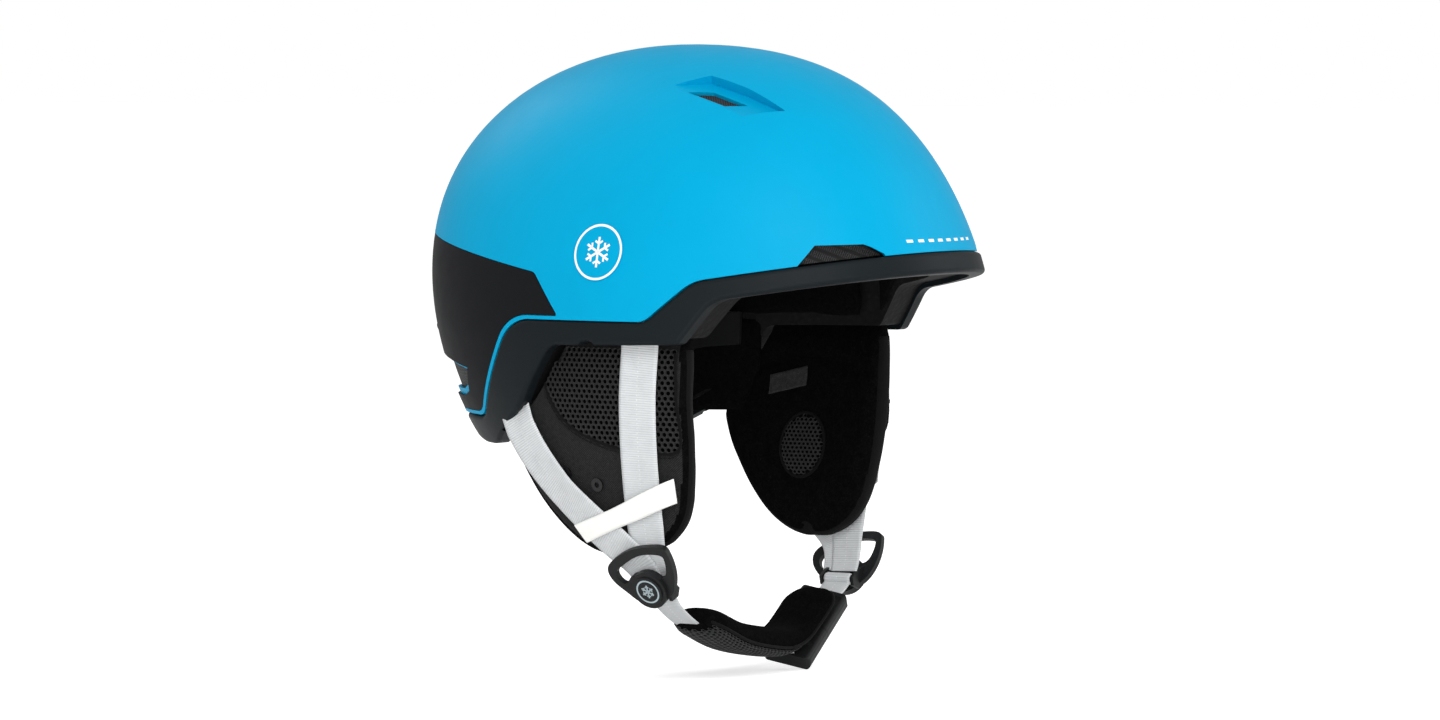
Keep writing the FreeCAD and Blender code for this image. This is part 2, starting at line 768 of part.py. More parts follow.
def magnet_pocket(start):
    return rod(V(start, 0, 0), X_AXIS, MAGNET_R + MAGNET_GAP, MAGNET_LONG + 2 * MAGNET_GAP)


def buckle_lower():
    block = buckle_half(0, BUCKLE_SPLIT - 0.1, 0)
    block = block.cut(magnet_pocket(MAGNET_LOWER_AT))
    block = block.cut(box(9, 12.5, -10.2, 10.2, -8, 8))
    block = buckle_frame(block)
    web = strip_along(CHIN_PATH, -1.0, 1.0, WEB_Y0 - 0.3, WEB_Y1 + 0.3)
    return biggest(block.cut(web))


def buckle_upper():
    block = buckle_half(BUCKLE_SPLIT + 0.1, BUCKLE_LONG, BUCKLE_LONG)
    block = block.cut(magnet_pocket(MAGNET_UPPER_AT))
    block = block.cut(box(40, 43.5, -10.2, 10.2, -8, 8))
    return biggest(buckle_frame(block))


def buckle_magnet(start):
    return buckle_frame(rod(V(start + MAGNET_GAP, 0, 0), X_AXIS, MAGNET_R, MAGNET_LONG))


def chin_web_left():
    path = [(-BAR_X - 1.6, BAR_Z - 1.6), (69.6, -116.6), (64.0, -119.2)]
    strip = strip_along(path, -0.75, 0.75, WEB_Y0, WEB_Y1).fuse(web_loop(-BAR_X))
    strip = strip.cut(rod(V(-BAR_X, -60, BAR_Z), Y_AXIS, BAR_R, 80))
    strip.translate(LEFT_HANG)
    return biggest(strip.cut(buckle_block(0, BUCKLE_LONG, 0.7)).removeSplitter())


# ---- fit system -------------------------------------------------------------------

CRADLE_SIDE = [(30, 12, 0), (64, 12, 10), (78, -6, 14), (150, -8, 0), (150, -42, 0), (74, -42, 14),
               (54, -6, 12), (30, -4, 0)]


def cradle_region():
    return prism_x(rounded_edges(CRADLE_SIDE))


def dial_frame(shape):
    """Turn a shape built along Y at the origin into the dial's place."""
    shape = shape.copy()
    shape.rotate(V(0, 0, 0), X_AXIS, -DIAL_TILT)
    shape.translate(V(0, DIAL_Y, DIAL_Z))
    return shape


def fit_cradle():
    body = layer(CRADLE_OUT, CRADLE_OUT + CRADLE_THICK).common(cradle_region())
    boss = dial_frame(rod(V(0, -25, 0), Y_AXIS, DIAL_R + 1.5, 24.9))
    boss = boss.common(layer(12, CRADLE_OUT + CRADLE_THICK))
    room = dial_frame(rod(V(0, -0.1, 0), Y_AXIS, DIAL_R + 2.5, 30))
    body = body.fuse(boss).cut(room)
    for x in (-44, -30, 30, 44):
        body = body.cut(box(x - 3.5, x + 3.5, 60, 120, -32, -17))
    body = body.cut(dial_frame(rod(V(0, -30, 0), Y_AXIS, AXLE_R, 40)))
    return biggest(body.removeSplitter())


def cradle_pad():
    outer = CRADLE_OUT + CRADLE_THICK
    strip = prism_x(rounded_edges([(60, -10, 0), (140, -11.5, 0), (140, -38.5, 0), (60, -38.5, 0)]))
    return biggest(layer(outer, outer + 3.2).common(strip).common(box(-52, 52, 50, 140, -60, 0)))


def dial_axle():
    stem = rod(V(0, -3.0, 0), Y_AXIS, AXLE_R, DIAL_THICK + 3.2)
    head = rod(V(0, DIAL_THICK + 0.1, 0), Y_AXIS, 5.2, 1.4)
    return dial_frame(stem.fuse(head).removeSplitter())


def fit_dial():
    body = rod(V(0, 0, 0), Y_AXIS, DIAL_R, DIAL_THICK)
    body = soften(body, 1.0, lambda e: e.Length > 50)
    for i in range(DIAL_GRIPS):
        a = 2 * math.pi * i / DIAL_GRIPS
        x = (DIAL_R + 0.5) * math.cos(a)
        z = (DIAL_R + 0.5) * math.sin(a)
        body = body.cut(rod(V(x, -1, z), Y_AXIS, 1.3, DIAL_THICK + 2))
    body = body.cut(rod(V(0, -1, 0), Y_AXIS, AXLE_R + RUNNING_GAP, 12))
    return biggest(dial_frame(body))


# ---- goggle strap clip ---------------------------------------------------------------

def back_y(z):
    """Y of the shell surface in the middle plane at the back."""
    angle = 180.0
    for step in range(20):
        r = side_radius(angle)
        angle = 180 - math.degrees(math.asin(z / r))
    return math.sqrt(side_radius(angle) ** 2 - z * z)


def goggle_clip_base():
    room = box(-15, 15, 100, 170, -1.5, 15).fuse(box(-6, 6, 100, 170, 14, 44))
    body = layer(-2.4, 0).common(room)
    for x0 in (-15, 9.4):
        lug = box(x0, x0 + 5.6, back_y(CLIP_PIN_Z) - 1, CLIP_PIN_Y, CLIP_PIN_Z - 3.2, CLIP_PIN_Z + 3.2)
        lug = lug.fuse(rod(V(x0, CLIP_PIN_Y, CLIP_PIN_Z), X_AXIS, 3.2, 5.6))
        lug = lug.cut(layer(0, 12))
        body = body.fuse(lug)
    body = body.cut(rod(V(-30, CLIP_PIN_Y, CLIP_PIN_Z), X_AXIS, CLIP_PIN_R, 60))
    return biggest(body.removeSplitter())


def goggle_clip_pin():
    return rod(V(-14.6, CLIP_PIN_Y, CLIP_PIN_Z), X_AXIS, CLIP_PIN_R, 29.2)


def goggle_clip():
    heights = [CLIP_PIN_Z + 2, 16, 26, 36, 46]
    outer = [V(-9, back_y(z) + 7.4, z) for z in heights]
    inner = [V(-9, back_y(z) + 4.6, z) for z in heights]
    edges = [smooth(outer), Part.makeLine(outer[-1], inner[-1]), smooth(inner),
             Part.makeLine(inner[0], outer[0])]
    arm = Part.Face(Part.Wire(Part.__sortEdges__(edges))).extrude(V(18, 0, 0))
    arm = arm.fuse(rod(V(-9.2, CLIP_PIN_Y, CLIP_PIN_Z), X_AXIS, 3.4, 18.4))
    tip = box(-9, 9, back_y(45) + 2.7, back_y(45) + 6, 43, 46)
    arm = arm.fuse(tip)
    arm = arm.cut(rod(V(-30, CLIP_PIN_Y, CLIP_PIN_Z), X_AXIS, CLIP_PIN_R + RUNNING_GAP, 60))
    return biggest(arm.removeSplitter())


# ---- write the nodes -------------------------------------------------------------------

NODES = {
    "outer_shell": outer_shell,
    "rear_shell_panel": rear_shell_panel,
    "lower_rim": lower_rim,
    "impact_liner": impact_liner,
    "top_vent_mesh": top_vent_mesh,
    "front_vent_mesh": front_vent_mesh,
    "rear_vent_mesh": rear_vent_mesh,
    "side_badge": side_badge,
    "brow_pad": brow_pad,
    "crown_pad": crown_pad,
    "side_pads": side_pads,
    "strap_rivets": strap_rivets,
    "fit_cradle": fit_cradle,
    "cradle_pad": cradle_pad,
    "dial_axle": dial_axle,
    "fit_dial": fit_dial,
    "goggle_clip_base": goggle_clip_base,
    "goggle_clip_pin": goggle_clip_pin,
    "goggle_clip": goggle_clip,
    "chin_web_right": chin_web_right,
    "chin_pad": chin_pad,
    "buckle_lower": buckle_lower,
    "buckle_upper": buckle_upper,
    "chin_web_left": chin_web_left,
    "ear_tag_left": lambda: mirrored(ear_tag()),
    "magnet_lower": lambda: buckle_magnet(MAGNET_LOWER_AT),
    "magnet_upper": lambda: buckle_magnet(MAGNET_UPPER_AT),
}

SIDED = {
    "ear_pad": ear_pad,
    "speaker_blank": speaker_blank,
    "ear_binding": ear_binding,
    "ear_mesh": ear_mesh,
    "ear_grille": ear_grille,
    "ear_snaps": ear_snaps,
    "strap_front": strap_front,
    "strap_rear": strap_rear,
    "strap_root_front": strap_root_front,
    "strap_root_rear": strap_root_rear,
    "strap_keeper": strap_keeper,
    "divider": divider,
    "divider_cap": divider_cap,
}

HANGING = ("divider", "divider_cap")

os.makedirs("parts", exist_ok=True)
for name, make in NODES.items():
    make().exportStep("parts/" + name + ".step")
for name, make in SIDED.items():
    shape = make()
    shape.exportStep("parts/" + name + "_right.step")
    other = mirrored(shape)
    if name in HANGING:
        other.translate(LEFT_HANG)
    other.exportStep("parts/" + name + "_left.step")
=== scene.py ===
import math

import bpy
import numpy as np
from mathutils import Matrix, Vector
from mathutils.bvhtree import BVHTree


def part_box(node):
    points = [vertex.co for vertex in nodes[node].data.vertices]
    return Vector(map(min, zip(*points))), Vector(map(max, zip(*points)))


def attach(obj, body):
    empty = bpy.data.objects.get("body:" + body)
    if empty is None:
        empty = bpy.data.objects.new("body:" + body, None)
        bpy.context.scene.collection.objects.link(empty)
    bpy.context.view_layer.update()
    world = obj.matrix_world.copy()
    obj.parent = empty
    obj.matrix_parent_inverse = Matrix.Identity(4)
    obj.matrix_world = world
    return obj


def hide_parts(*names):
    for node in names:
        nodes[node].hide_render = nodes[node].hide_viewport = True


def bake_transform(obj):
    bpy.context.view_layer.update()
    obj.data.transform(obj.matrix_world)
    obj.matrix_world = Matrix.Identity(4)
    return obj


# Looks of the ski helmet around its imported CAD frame.
# Front is -Y, the wearer's left is +X and up is +Z.  Shapes are worked out in
# millimetres and written to the meshes in metres.

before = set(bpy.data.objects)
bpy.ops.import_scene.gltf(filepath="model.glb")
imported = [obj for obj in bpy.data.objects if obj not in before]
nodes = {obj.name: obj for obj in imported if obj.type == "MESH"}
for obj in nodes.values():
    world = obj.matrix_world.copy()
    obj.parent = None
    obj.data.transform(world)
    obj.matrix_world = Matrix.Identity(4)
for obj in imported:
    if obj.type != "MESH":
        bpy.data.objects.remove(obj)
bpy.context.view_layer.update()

MM = 0.001
RIGHT = -1
LEFT = 1
SIDES = {RIGHT: "right", LEFT: "left"}

# the face that an ear pad turns outwards, as the CAD ear pads have it
PAD_X = 98.0
PAD_THICK = 13.0
PAD_TUCK = 14.0
PAD_TUCK_FROM = -20.0
PAD_TUCK_RUN = 75.0
PAD_WRAP = 0.0032
PAD_WRAP_Y = -5.0
WRAP_EASE_Y = 24.0
WRAP_EASE = 12.0

# soft outline of an ear pad as (y, z), and the lower edge of the rim above it
PAD_OUTLINE = [(-44, 6), (-44.5, -25), (-44, -45), (-42, -62), (-38, -77), (-28, -89),
               (-12, -95.5), (4, -96), (17, -93), (29.5, -85.5), (40.5, -74), (48.5, -61),
               (54, -46), (56, -10), (40, 20), (0, 26), (-36, 22)]
PAD_TOP = 2.2
PAD_BOTTOM = -95.9
TONGUE_TOP = 9.0
RIM_EDGE = [(-46.6, 4.1), (21.5, 2.7), (43.5, -27.0), (71.0, -46.5)]
RIM_ROOM = 1.8
EDGE_OUT = 5.0
EDGE_IN = 7.0
NET_ROOM = 1.2
MESH_OUTLINE = [(-40, 12), (-40.5, -20), (-40.5, -44.5), (-24, -46.5), (-10, -45),
                (4, -41.5), (17, -36), (27, -27), (33, -14), (36, 12)]

# middle of the speaker net, and the half widths of its window and of the seam round it
SPEAKER_Y = -1.3
SPEAKER_Z = -52.5
SPEAKER_WINDOW = (11.0, 14.4)
SPEAKER_SEAM = (12.0, 15.6)

# straps
STRAP_WIDE = 19.0
STRAP_THICK = 1.5
FRONT_STRAP = [(-24, 24), (-23.4, 3), (-22.4, -12), (-21.8, -25), (-20.6, -50), (-19.8, -75),
               (-19.4, -94)]
REAR_STRAP = [(54, -22), (47.5, -36), (39.5, -50), (27, -65), (10, -79.5), (-6, -92.5)]
FRONT_OUT = 0.75
REAR_OUT = 1.7
REAR_ROLL = math.radians(5.0)
STRAP_TUCK = 4.5
STRAP_TUCK_RUN = 15.0
KEEPER_OUT = 4.6
BAR_X = 76.4
BAR_Z = -111.5
WEB_Y = -19.5
WEB_WIDE = 15.4
CHIN_PATH = [(-74.6, -113.0), (-67, -120.8), (-50, -130.3), (-22, -139.5), (2, -141.5),
             (17, -143), (34.0, -151.3)]

FRONT_TO_BACK = (0.0, 1.0, 0.0)

# how far the left divider hangs from its mirrored place, as (x, y, z)
LEFT_HANG = np.array([2.0, -3.0, -5.5])

# side marks
BADGE_Y = -3.6
BADGE_Z = 46.3
BADGE_R = 13.1

CHIN_PAD_PATH = [(-53, -126.6), (-40, -132.0), (-22, -138.4), (0, -142.4), (16, -143.6),
                 (28, -140.8), (39, -134.0), (50, -125.5), (56, -120.5)]
CHIN_PAD_Y = -23.0
LINING_LOW = -36.5

CAMERA_AZIMUTH = -57.12
CAMERA_ELEVATION = 2.6
CAMERA_DISTANCE = 3.0
CAMERA_LENS = 157.04
CAMERA_SHIFT = (0.00497, -0.0116)
FLOOR_Z = -0.1575
FLOOR_HALF = 30.0


# ---- numbers and curves ------------------------------------------------------

def curve_points(points, count, closed=False):
    """Evenly spaced points on the smooth curve through the given ones."""
    points = np.array(points, float)
    n = len(points)
    spans = n if closed else n - 1
    fine = []
    for i in range(spans):
        if closed:
            a, b, c, d = (points[(i + k) % n] for k in (-1, 0, 1, 2))
        else:
            b, c = points[i], points[i + 1]
            a = points[i - 1] if i > 0 else 2 * b - c
            d = points[i + 2] if i + 2 < n else 2 * c - b
        for t in np.linspace(0, 1, 24, endpoint=False):
            fine.append(0.5 * (2 * b + (c - a) * t + (2 * a - 5 * b + 4 * c - d) * t * t
                               + (3 * b - a - 3 * c + d) * t ** 3))
    fine.append(fine[0] if closed else points[-1])
    fine = np.array(fine)
    run = np.concatenate([[0], np.cumsum(np.linalg.norm(np.diff(fine, axis=0), axis=1))])
    at = np.linspace(0, run[-1], count, endpoint=not closed)
    return np.stack([np.interp(at, run, fine[:, k]) for k in range(fine.shape[1])], axis=1)


def unit(v):
    return v / np.linalg.norm(v)


def tangents(points, closed=False):
    if closed:
        ahead = np.roll(points, -1, axis=0) - np.roll(points, 1, axis=0)
    else:
        ahead = np.gradient(points, axis=0)
    return ahead / np.linalg.norm(ahead, axis=1)[:, None]


def inside(outline, y, z):
    """True if (y, z) lies inside a closed polygon."""
    hit = False
    for i in range(len(outline)):
        y0, z0 = outline[i - 1]
        y1, z1 = outline[i]
        if (z0 > z) != (z1 > z) and y < (y1 - y0) * (z - z0) / (z1 - z0) + y0:
            hit = not hit
    return hit


def side_x(y, z, out=0.0):
    """Distance from the middle plane to the ear pad's outer face, plus out."""
    tuck = PAD_TUCK * np.maximum(0, (PAD_TUCK_FROM - z) / PAD_TUCK_RUN) ** 1.4
    # behind the snaps the face turns in less and less
    behind = np.maximum(0, y - WRAP_EASE_Y)
    bent = np.minimum(y, WRAP_EASE_Y) + WRAP_EASE * (1 - np.exp(-behind / WRAP_EASE))
    return PAD_X - tuck - PAD_WRAP * (bent - PAD_WRAP_Y) ** 2 + out


def side_point(side, y, z, out=0.0):
    return np.array([side * side_x(y, z, out), y, z])


def hang_forward(co):
    """The left pad hangs with its rear and lower edge drawn forward."""
    y, z = co[:, 1], co[:, 2]
    draw = 9.5 * np.clip((8 - z) / 49, 0, 1) + 13.0 * np.clip((-41 - z) / 54, 0, 1)
    share = np.clip((y + 44) / 100, 0, 1) ** 1.2
    moved = co.copy()
    moved[:, 1] -= draw * share
    return moved


def rim_limit(z):
    """Furthest back that a pad reaches at a height before it meets the rim."""
    heights = [p[1] for p in RIM_EDGE[1:]][::-1]
    backs = [p[0] for p in RIM_EDGE[1:]][::-1]
    return np.interp(z, heights, backs) - RIM_ROOM


# ---- mesh building ---------------------------------------------------------------

def mesh_piece(name, points, faces, material, closed=True, uv=None):
    """New object from points in millimetres; uv holds one pair for each point.  The
    faces of a closed piece are turned outwards."""
    mesh = bpy.data.meshes.new(name)
    mesh.from_pydata([tuple(p) for p in np.asarray(points, float) * MM], [], faces)
    mesh.validate()
    if closed:
        volume = sum(p.area * p.center.dot(p.normal) for p in mesh.polygons)
        if volume < 0:
            mesh.flip_normals()
    if uv is not None:
        layer = mesh.uv_layers.new(name="along")
        for loop in mesh.loops:
            layer.data[loop.index].uv = uv[loop.vertex_index]
    mesh.polygons.foreach_set("use_smooth", [True] * len(mesh.polygons))
    mesh.materials.append(material)
    piece = bpy.data.objects.new(name, mesh)
    bpy.context.scene.collection.objects.link(piece)
    return piece


def grid_faces(rows, columns, wrap_rows=False, wrap_columns=False, first=0):
    faces = []
    for i in range(rows if wrap_rows else rows - 1):
        for j in range(columns if wrap_columns else columns - 1):
            a = first + i * columns + j
            b = first + i * columns + (j + 1) % columns
            c = first + (i + 1) % rows * columns + (j + 1) % columns
            d = first + (i + 1) % rows * columns + j
            faces.append((a, b, c, d))
    return faces


def ring_strip(rows, size):
    """Faces of a solid that is a row of rings with a flat face over both ends."""
    last = (rows - 1) * size
    faces = grid_faces(rows, size, wrap_columns=True)
    faces.append(tuple(range(size))[::-1])
    faces.append(tuple(range(last, last + size)))
    return faces


def swept_tube(name, centres, radius, closed=False, flat=1.0):
    """Round or flattened cord of tape along a line of points."""
    around = 10
    points = []
    for p, t in zip(centres, tangents(centres, closed)):
        side = unit(np.cross(t, (1.0, 0.0, 0.0)))
        rise = np.cross(side, t)
        for k in range(around):
            a = 2 * math.pi * k / around
            points.append(p + radius * (math.cos(a) * side + flat * math.sin(a) * rise))
    if closed:
        faces = grid_faces(len(centres), around, wrap_rows=True, wrap_columns=True)
    else:
        faces = ring_strip(len(centres), around)
    return mesh_piece(name, points, faces, TAPE)


def webbing(name, centres, across, wide, thick):
    """Woven flat strap with a rounded selvedge and cross ribs, as a closed solid.  Its
    width and the direction of it are one for the whole strap or one for each point."""
    rib = 1.1
    rib_high = 0.09
    columns = 12
    centres = np.asarray(centres, float)
    acrosses = np.broadcast_to(across, centres.shape)
    widths = np.broadcast_to(wide, len(centres))
    ahead = tangents(centres)
    run = np.concatenate([[0], np.cumsum(np.linalg.norm(np.diff(centres, axis=0), axis=1))])
    section = [(-1 + 2 * k / columns, 1) for k in range(columns + 1)]
    section += [(1 - 2 * k / columns, -1) for k in range(columns + 1)]
    points, uv = [], []
    for i, p in enumerate(centres):
        sideways = unit(acrosses[i] - ahead[i] * np.dot(acrosses[i], ahead[i]))
        face = np.cross(ahead[i], sideways)
        weave = rib_high * math.cos(2 * math.pi * run[i] / rib)
        for u, level in section:
            edge = 1 - abs(u) ** 10
            selvedge = 0.12 * (abs(u) > 0.8)
            high = level * (thick / 2 * (0.35 + 0.65 * edge) + (weave + selvedge) * edge)
            points.append(p + sideways * u * widths[i] / 2 + face * high)
            uv.append((u * widths[i] / 2, run[i]))
    return mesh_piece(name, points, ring_strip(len(centres), len(section)), WEBBING, uv=uv)


def honeycomb(name, place, wanted, u_range, v_range, pitch, hole, crest, sink, floor_shade=None):
    """Knitted spacer net: staggered rounded holes between raised yarn crests.
    place(u, v, height) gives a point; wanted(u, v) says if a cell is made.  An optional floor
    material closes each hole at the bottom with near-black ground cloth: painted shade in the
    holes."""
    pitch_u, pitch_v = pitch
    points, faces, index, floors = [], [], {}, []

    def vertex(u, v, height):
        key = (round(u * 50), round(v * 50), round(height * 50))
        if key not in index:
            index[key] = len(points)
            points.append(place(u, v, height))
        return index[key]

    rim = []
    for k in range(6):
        a = math.radians(60 * k + 30)
        b = math.radians(60 * k + 90)
        one = (math.cos(a) / math.cos(math.pi / 6) / 2, math.sin(a) * 2 / 3)
        two = (math.cos(b) / math.cos(math.pi / 6) / 2, math.sin(b) * 2 / 3)
        rim.append(one)
        rim.append(((one[0] + two[0]) / 2, (one[1] + two[1]) / 2))
    rows = int((v_range[1] - v_range[0]) / pitch_v) + 1
    columns = int((u_range[1] - u_range[0]) / pitch_u) + 1
    for j in range(rows):
        for i in range(columns):
            u = u_range[0] + (i + 0.5 * (j % 2)) * pitch_u
            v = v_range[0] + j * pitch_v
            if not wanted(u, v):
                continue
            rings = []
            for size, height in ((1.0, crest), (hole + 0.12, crest * 0.8), (hole, 0.0),
                                 (hole * 0.94, sink)):
                ring = []
                for k, (a, b) in enumerate(rim):
                    if size < 1:
                        angle = 2 * math.pi * (k + 1) / 12
                        a, b = 0.5 * math.cos(angle), 0.5 * math.sin(angle) * 1.06
                    ring.append(vertex(u + a * size * pitch_u, v + b * size * pitch_v, height))
                rings.append(ring)
            for outer, inner in zip(rings, rings[1:]):
                for k in range(12):
                    faces.append((outer[k], outer[(k + 1) % 12], inner[(k + 1) % 12], inner[k]))
            # hole floor: near-black ground cloth, painted shade at the bottom of the hole
            if floor_shade is not None:
                floors.append(len(faces))
                faces.append(tuple(rings[-1]))
    piece = mesh_piece(name, points, faces, YARN, closed=False)
    if floor_shade is not None:
        piece.data.materials.append(floor_shade)
        for face in floors:
            piece.data.polygons[face].material_index = 1
    return piece


def mirrored_copy(piece, name):
    """The same mesh on the other side of the middle plane."""
    mesh = piece.data.copy()
    mesh.transform(Matrix.Scale(-1, 4, (1, 0, 0)))
    mesh.flip_normals()
    twin = bpy.data.objects.new(name, mesh)
    bpy.context.scene.collection.objects.link(twin)
    return twin


def freeze(piece):
    """Replace the piece's mesh with its evaluated one and drop its modifiers."""
    graph = bpy.context.evaluated_depsgraph_get()
    mesh = bpy.data.meshes.new_from_object(piece.evaluated_get(graph))
    piece.modifiers.clear()
    piece.data = mesh
    return piece


def coordinates(mesh):
    co = np.zeros(len(mesh.vertices) * 3)
    mesh.vertices.foreach_get("co", co)
    return co.reshape(-1, 3) / MM


def set_coordinates(mesh, co):
    mesh.vertices.foreach_set("co", (np.asarray(co) * MM).ravel())
    mesh.update()


def tree_of(mesh):
    return BVHTree.FromPolygons([v.co[:] for v in mesh.vertices],
                                [p.vertices[:] for p in mesh.polygons])


# ---- materials --------------------------------------------------------------------

class Paint:
    """One procedural material, built up from texture nodes in millimetres."""

    def __init__(self, name, color, roughness, specular=0.5):
        self.material = bpy.data.materials.new(name)
        self.material.use_nodes = True
        self.tree = self.material.node_tree
        self.shader = self.tree.nodes["Principled BSDF"]
        self.color = color
        self.material.diffuse_color = (*color, 1)
        self.put("Base Color", (*color, 1))
        self.put("Roughness", roughness)
        self.put("Specular IOR Level", specular)
        coords = self.add("ShaderNodeTexCoord")
        self.uv = coords.outputs["UV"]
        scale = self.add("ShaderNodeMapping")
        scale.inputs["Scale"].default_value = (1 / MM,) * 3
        self.link(coords.outputs["Object"], scale.inputs["Vector"])
        self.place = scale.outputs["Vector"]
        self.bumps = None

    def put(self, socket, value):
        self.shader.inputs[socket].default_value = value

    def add(self, kind, **settings):
        node = self.tree.nodes.new(kind)
        for key, value in settings.items():
            setattr(node, key, value)
        return node

    def link(self, source, target):
        self.tree.links.new(source, target)

    def noise(self, size, detail=2.0):
        node = self.add("ShaderNodeTexNoise")
        node.inputs["Scale"].default_value = 1 / size
        node.inputs["Detail"].default_value = detail
        self.link(self.place, node.inputs["Vector"])
        return node.outputs["Fac"]

    def cells(self, size):
        node = self.add("ShaderNodeTexVoronoi", feature="F1")
        node.inputs["Scale"].default_value = 1 / size
        node.inputs["Randomness"].default_value = 1.0
        self.link(self.place, node.inputs["Vector"])
        return node.outputs["Distance"]

    def stripes(self, direction, pitch, distortion=0.0, space=None):
        """0 to 1 waves across a direction, one for each pitch."""
        turn = self.add("ShaderNodeVectorMath", operation="DOT_PRODUCT")
        turn.inputs[1].default_value = direction
        self.link(space or self.place, turn.inputs[0])
        angle = self.sum(turn.outputs["Value"], 2 * math.pi / pitch, "MULTIPLY")
        if distortion:
            angle = self.sum(angle, self.sum(self.noise(3 * pitch), distortion, "MULTIPLY"))
        wave = self.sum(angle, 0.0, "SINE")
        half = self.sum(wave, 0.5, "MULTIPLY")
        return self.sum(half, 0.5)

    def sum(self, one, two, operation="ADD"):
        node = self.add("ShaderNodeMath", operation=operation)
        for socket, value in zip(node.inputs, (one, two)):
            if isinstance(value, (int, float)):
                socket.default_value = value
            else:
                self.link(value, socket)
        return node.outputs["Value"]

    def spread(self, value, low, high, start=0.0, end=1.0):
        node = self.add("ShaderNodeMapRange")
        ends = {"From Min": start, "From Max": end, "To Min": low, "To Max": high}
        for key, number in ends.items():
            node.inputs[key].default_value = number
        self.link(value, node.inputs["Value"])
        return node.outputs["Result"]

    def bump(self, height, depth):
        """Add a relief of that depth in millimetres."""
        node = self.add("ShaderNodeBump")
        node.inputs["Strength"].default_value = 1.0
        node.inputs["Distance"].default_value = depth * MM
        self.link(height, node.inputs["Height"])
        if self.bumps is not None:
            self.link(self.bumps, node.inputs["Normal"])
        self.bumps = node.outputs["Normal"]
        self.link(self.bumps, self.shader.inputs["Normal"])

    def tint(self, factor, other):
        """Mix the colour towards another one by a 0 to 1 factor."""
        node = self.add("ShaderNodeMix", data_type="RGBA")
        self.link(factor, node.inputs["Factor"])
        base = self.shader.inputs["Base Color"]
        if base.links:
            self.link(base.links[0].from_socket, node.inputs["A"])
        else:
            node.inputs["A"].default_value = (*self.color, 1)
        node.inputs["B"].default_value = (*other, 1)
        self.link(node.outputs["Result"], base)

    def mottle(self, size, detail, share, start, end, other):
        """Tint towards another colour in cloudy patches."""
        self.tint(self.spread(self.noise(size, detail), 0.0, share, start, end), other)

    def rough(self, factor, low, high):
        self.link(self.spread(factor, low, high), self.shader.inputs["Roughness"])

    def fuzz(self, weight, roughness=0.5):
        self.put("Sheen Weight", weight)
        self.put("Sheen Roughness", roughness)


def shade(color, share):
    return tuple(c * share for c in color)


def moulded(name, color, roughness, grain=0.35, depth=0.012, specular=0.5):
    """Satin moulded plastic: fine orange peel, faint cloudiness, uneven gloss."""
    paint = Paint(name, color, roughness, specular)
    paint.mottle(28.0, 3.0, 0.10, 0.35, 0.7, shade(color, 0.78))
    paint.rough(paint.noise(9.0, 4.0), roughness - 0.05, roughness + 0.07)
    paint.bump(paint.noise(grain, 1.0), depth)
    paint.bump(paint.noise(5.0, 1.0), depth * 1.5)
    return paint


def shell_paint():
    """Satin blue with a few faint scuffs."""
    paint = moulded("shell_paint", (0.0, 0.325, 0.565), 0.44, 0.5, 0.006, 0.05)
    paint.mottle(1.3, 5.0, 0.10, 0.66, 0.8, (0.04, 0.40, 0.66))
    return paint.material


def fleece(name, color, nap=0.8, depth=0.28, sheen=0.35):
    """Short brushed pile."""
    paint = Paint(name, color, 0.95, 0.0)
    pile = paint.noise(nap, 4.0)
    tufts = paint.noise(nap * 4.5, 2.0)
    paint.tint(paint.spread(pile, 0.0, 0.8, 0.45, 0.75), shade(color, 2.4))
    paint.tint(paint.spread(tufts, 0.0, 0.5, 0.4, 0.7), shade(color, 0.5))
    paint.bump(tufts, depth * 1.6)
    paint.bump(pile, depth)
    paint.fuzz(sheen, 0.45)
    return paint.material


def twill():
    """Heavy woven twill with diagonal wales."""
    paint = Paint("twill", (0.0095, 0.0095, 0.0102), 0.85, 0.15)
    wales = paint.stripes((0.0, 0.66, 0.75), 0.75, 1.6)
    threads = paint.stripes((0.0, 0.75, -0.66), 0.42, 1.2)
    paint.tint(paint.spread(wales, 0.0, 0.8), (0.030, 0.030, 0.031))
    paint.mottle(1.6, 3.0, 0.5, 0.4, 0.75, (0.002, 0.002, 0.002))
    paint.bump(wales, 0.2)
    paint.bump(threads, 0.09)
    paint.fuzz(0.02)
    return paint.material


def yarn():
    """Black knitted yarn of the spacer net."""
    paint = Paint("spacer_yarn", (0.010, 0.010, 0.0105), 0.5, 0.25)
    strands = paint.stripes((0.3, 0.8, 0.5), 0.35, 3.0)
    paint.tint(paint.spread(strands, 0.0, 0.6), (0.026, 0.026, 0.027))
    paint.bump(strands, 0.09)
    paint.bump(paint.noise(0.5, 3.0), 0.08)
    paint.fuzz(0.03)
    return paint.material


def knit_tape():
    """Smooth stretch tape that binds the edges of the pads."""
    paint = Paint("binding_tape", (0.0045, 0.0045, 0.0048), 0.85, 0.04)
    loops = paint.stripes((0.0, 0.5, 0.86), 0.5, 1.0)
    paint.tint(paint.spread(loops, 0.0, 0.6), (0.009, 0.009, 0.0095))
    paint.bump(loops, 0.07)
    paint.bump(paint.noise(2.5, 3.0), 0.12)
    paint.fuzz(0.03)
    return paint.material


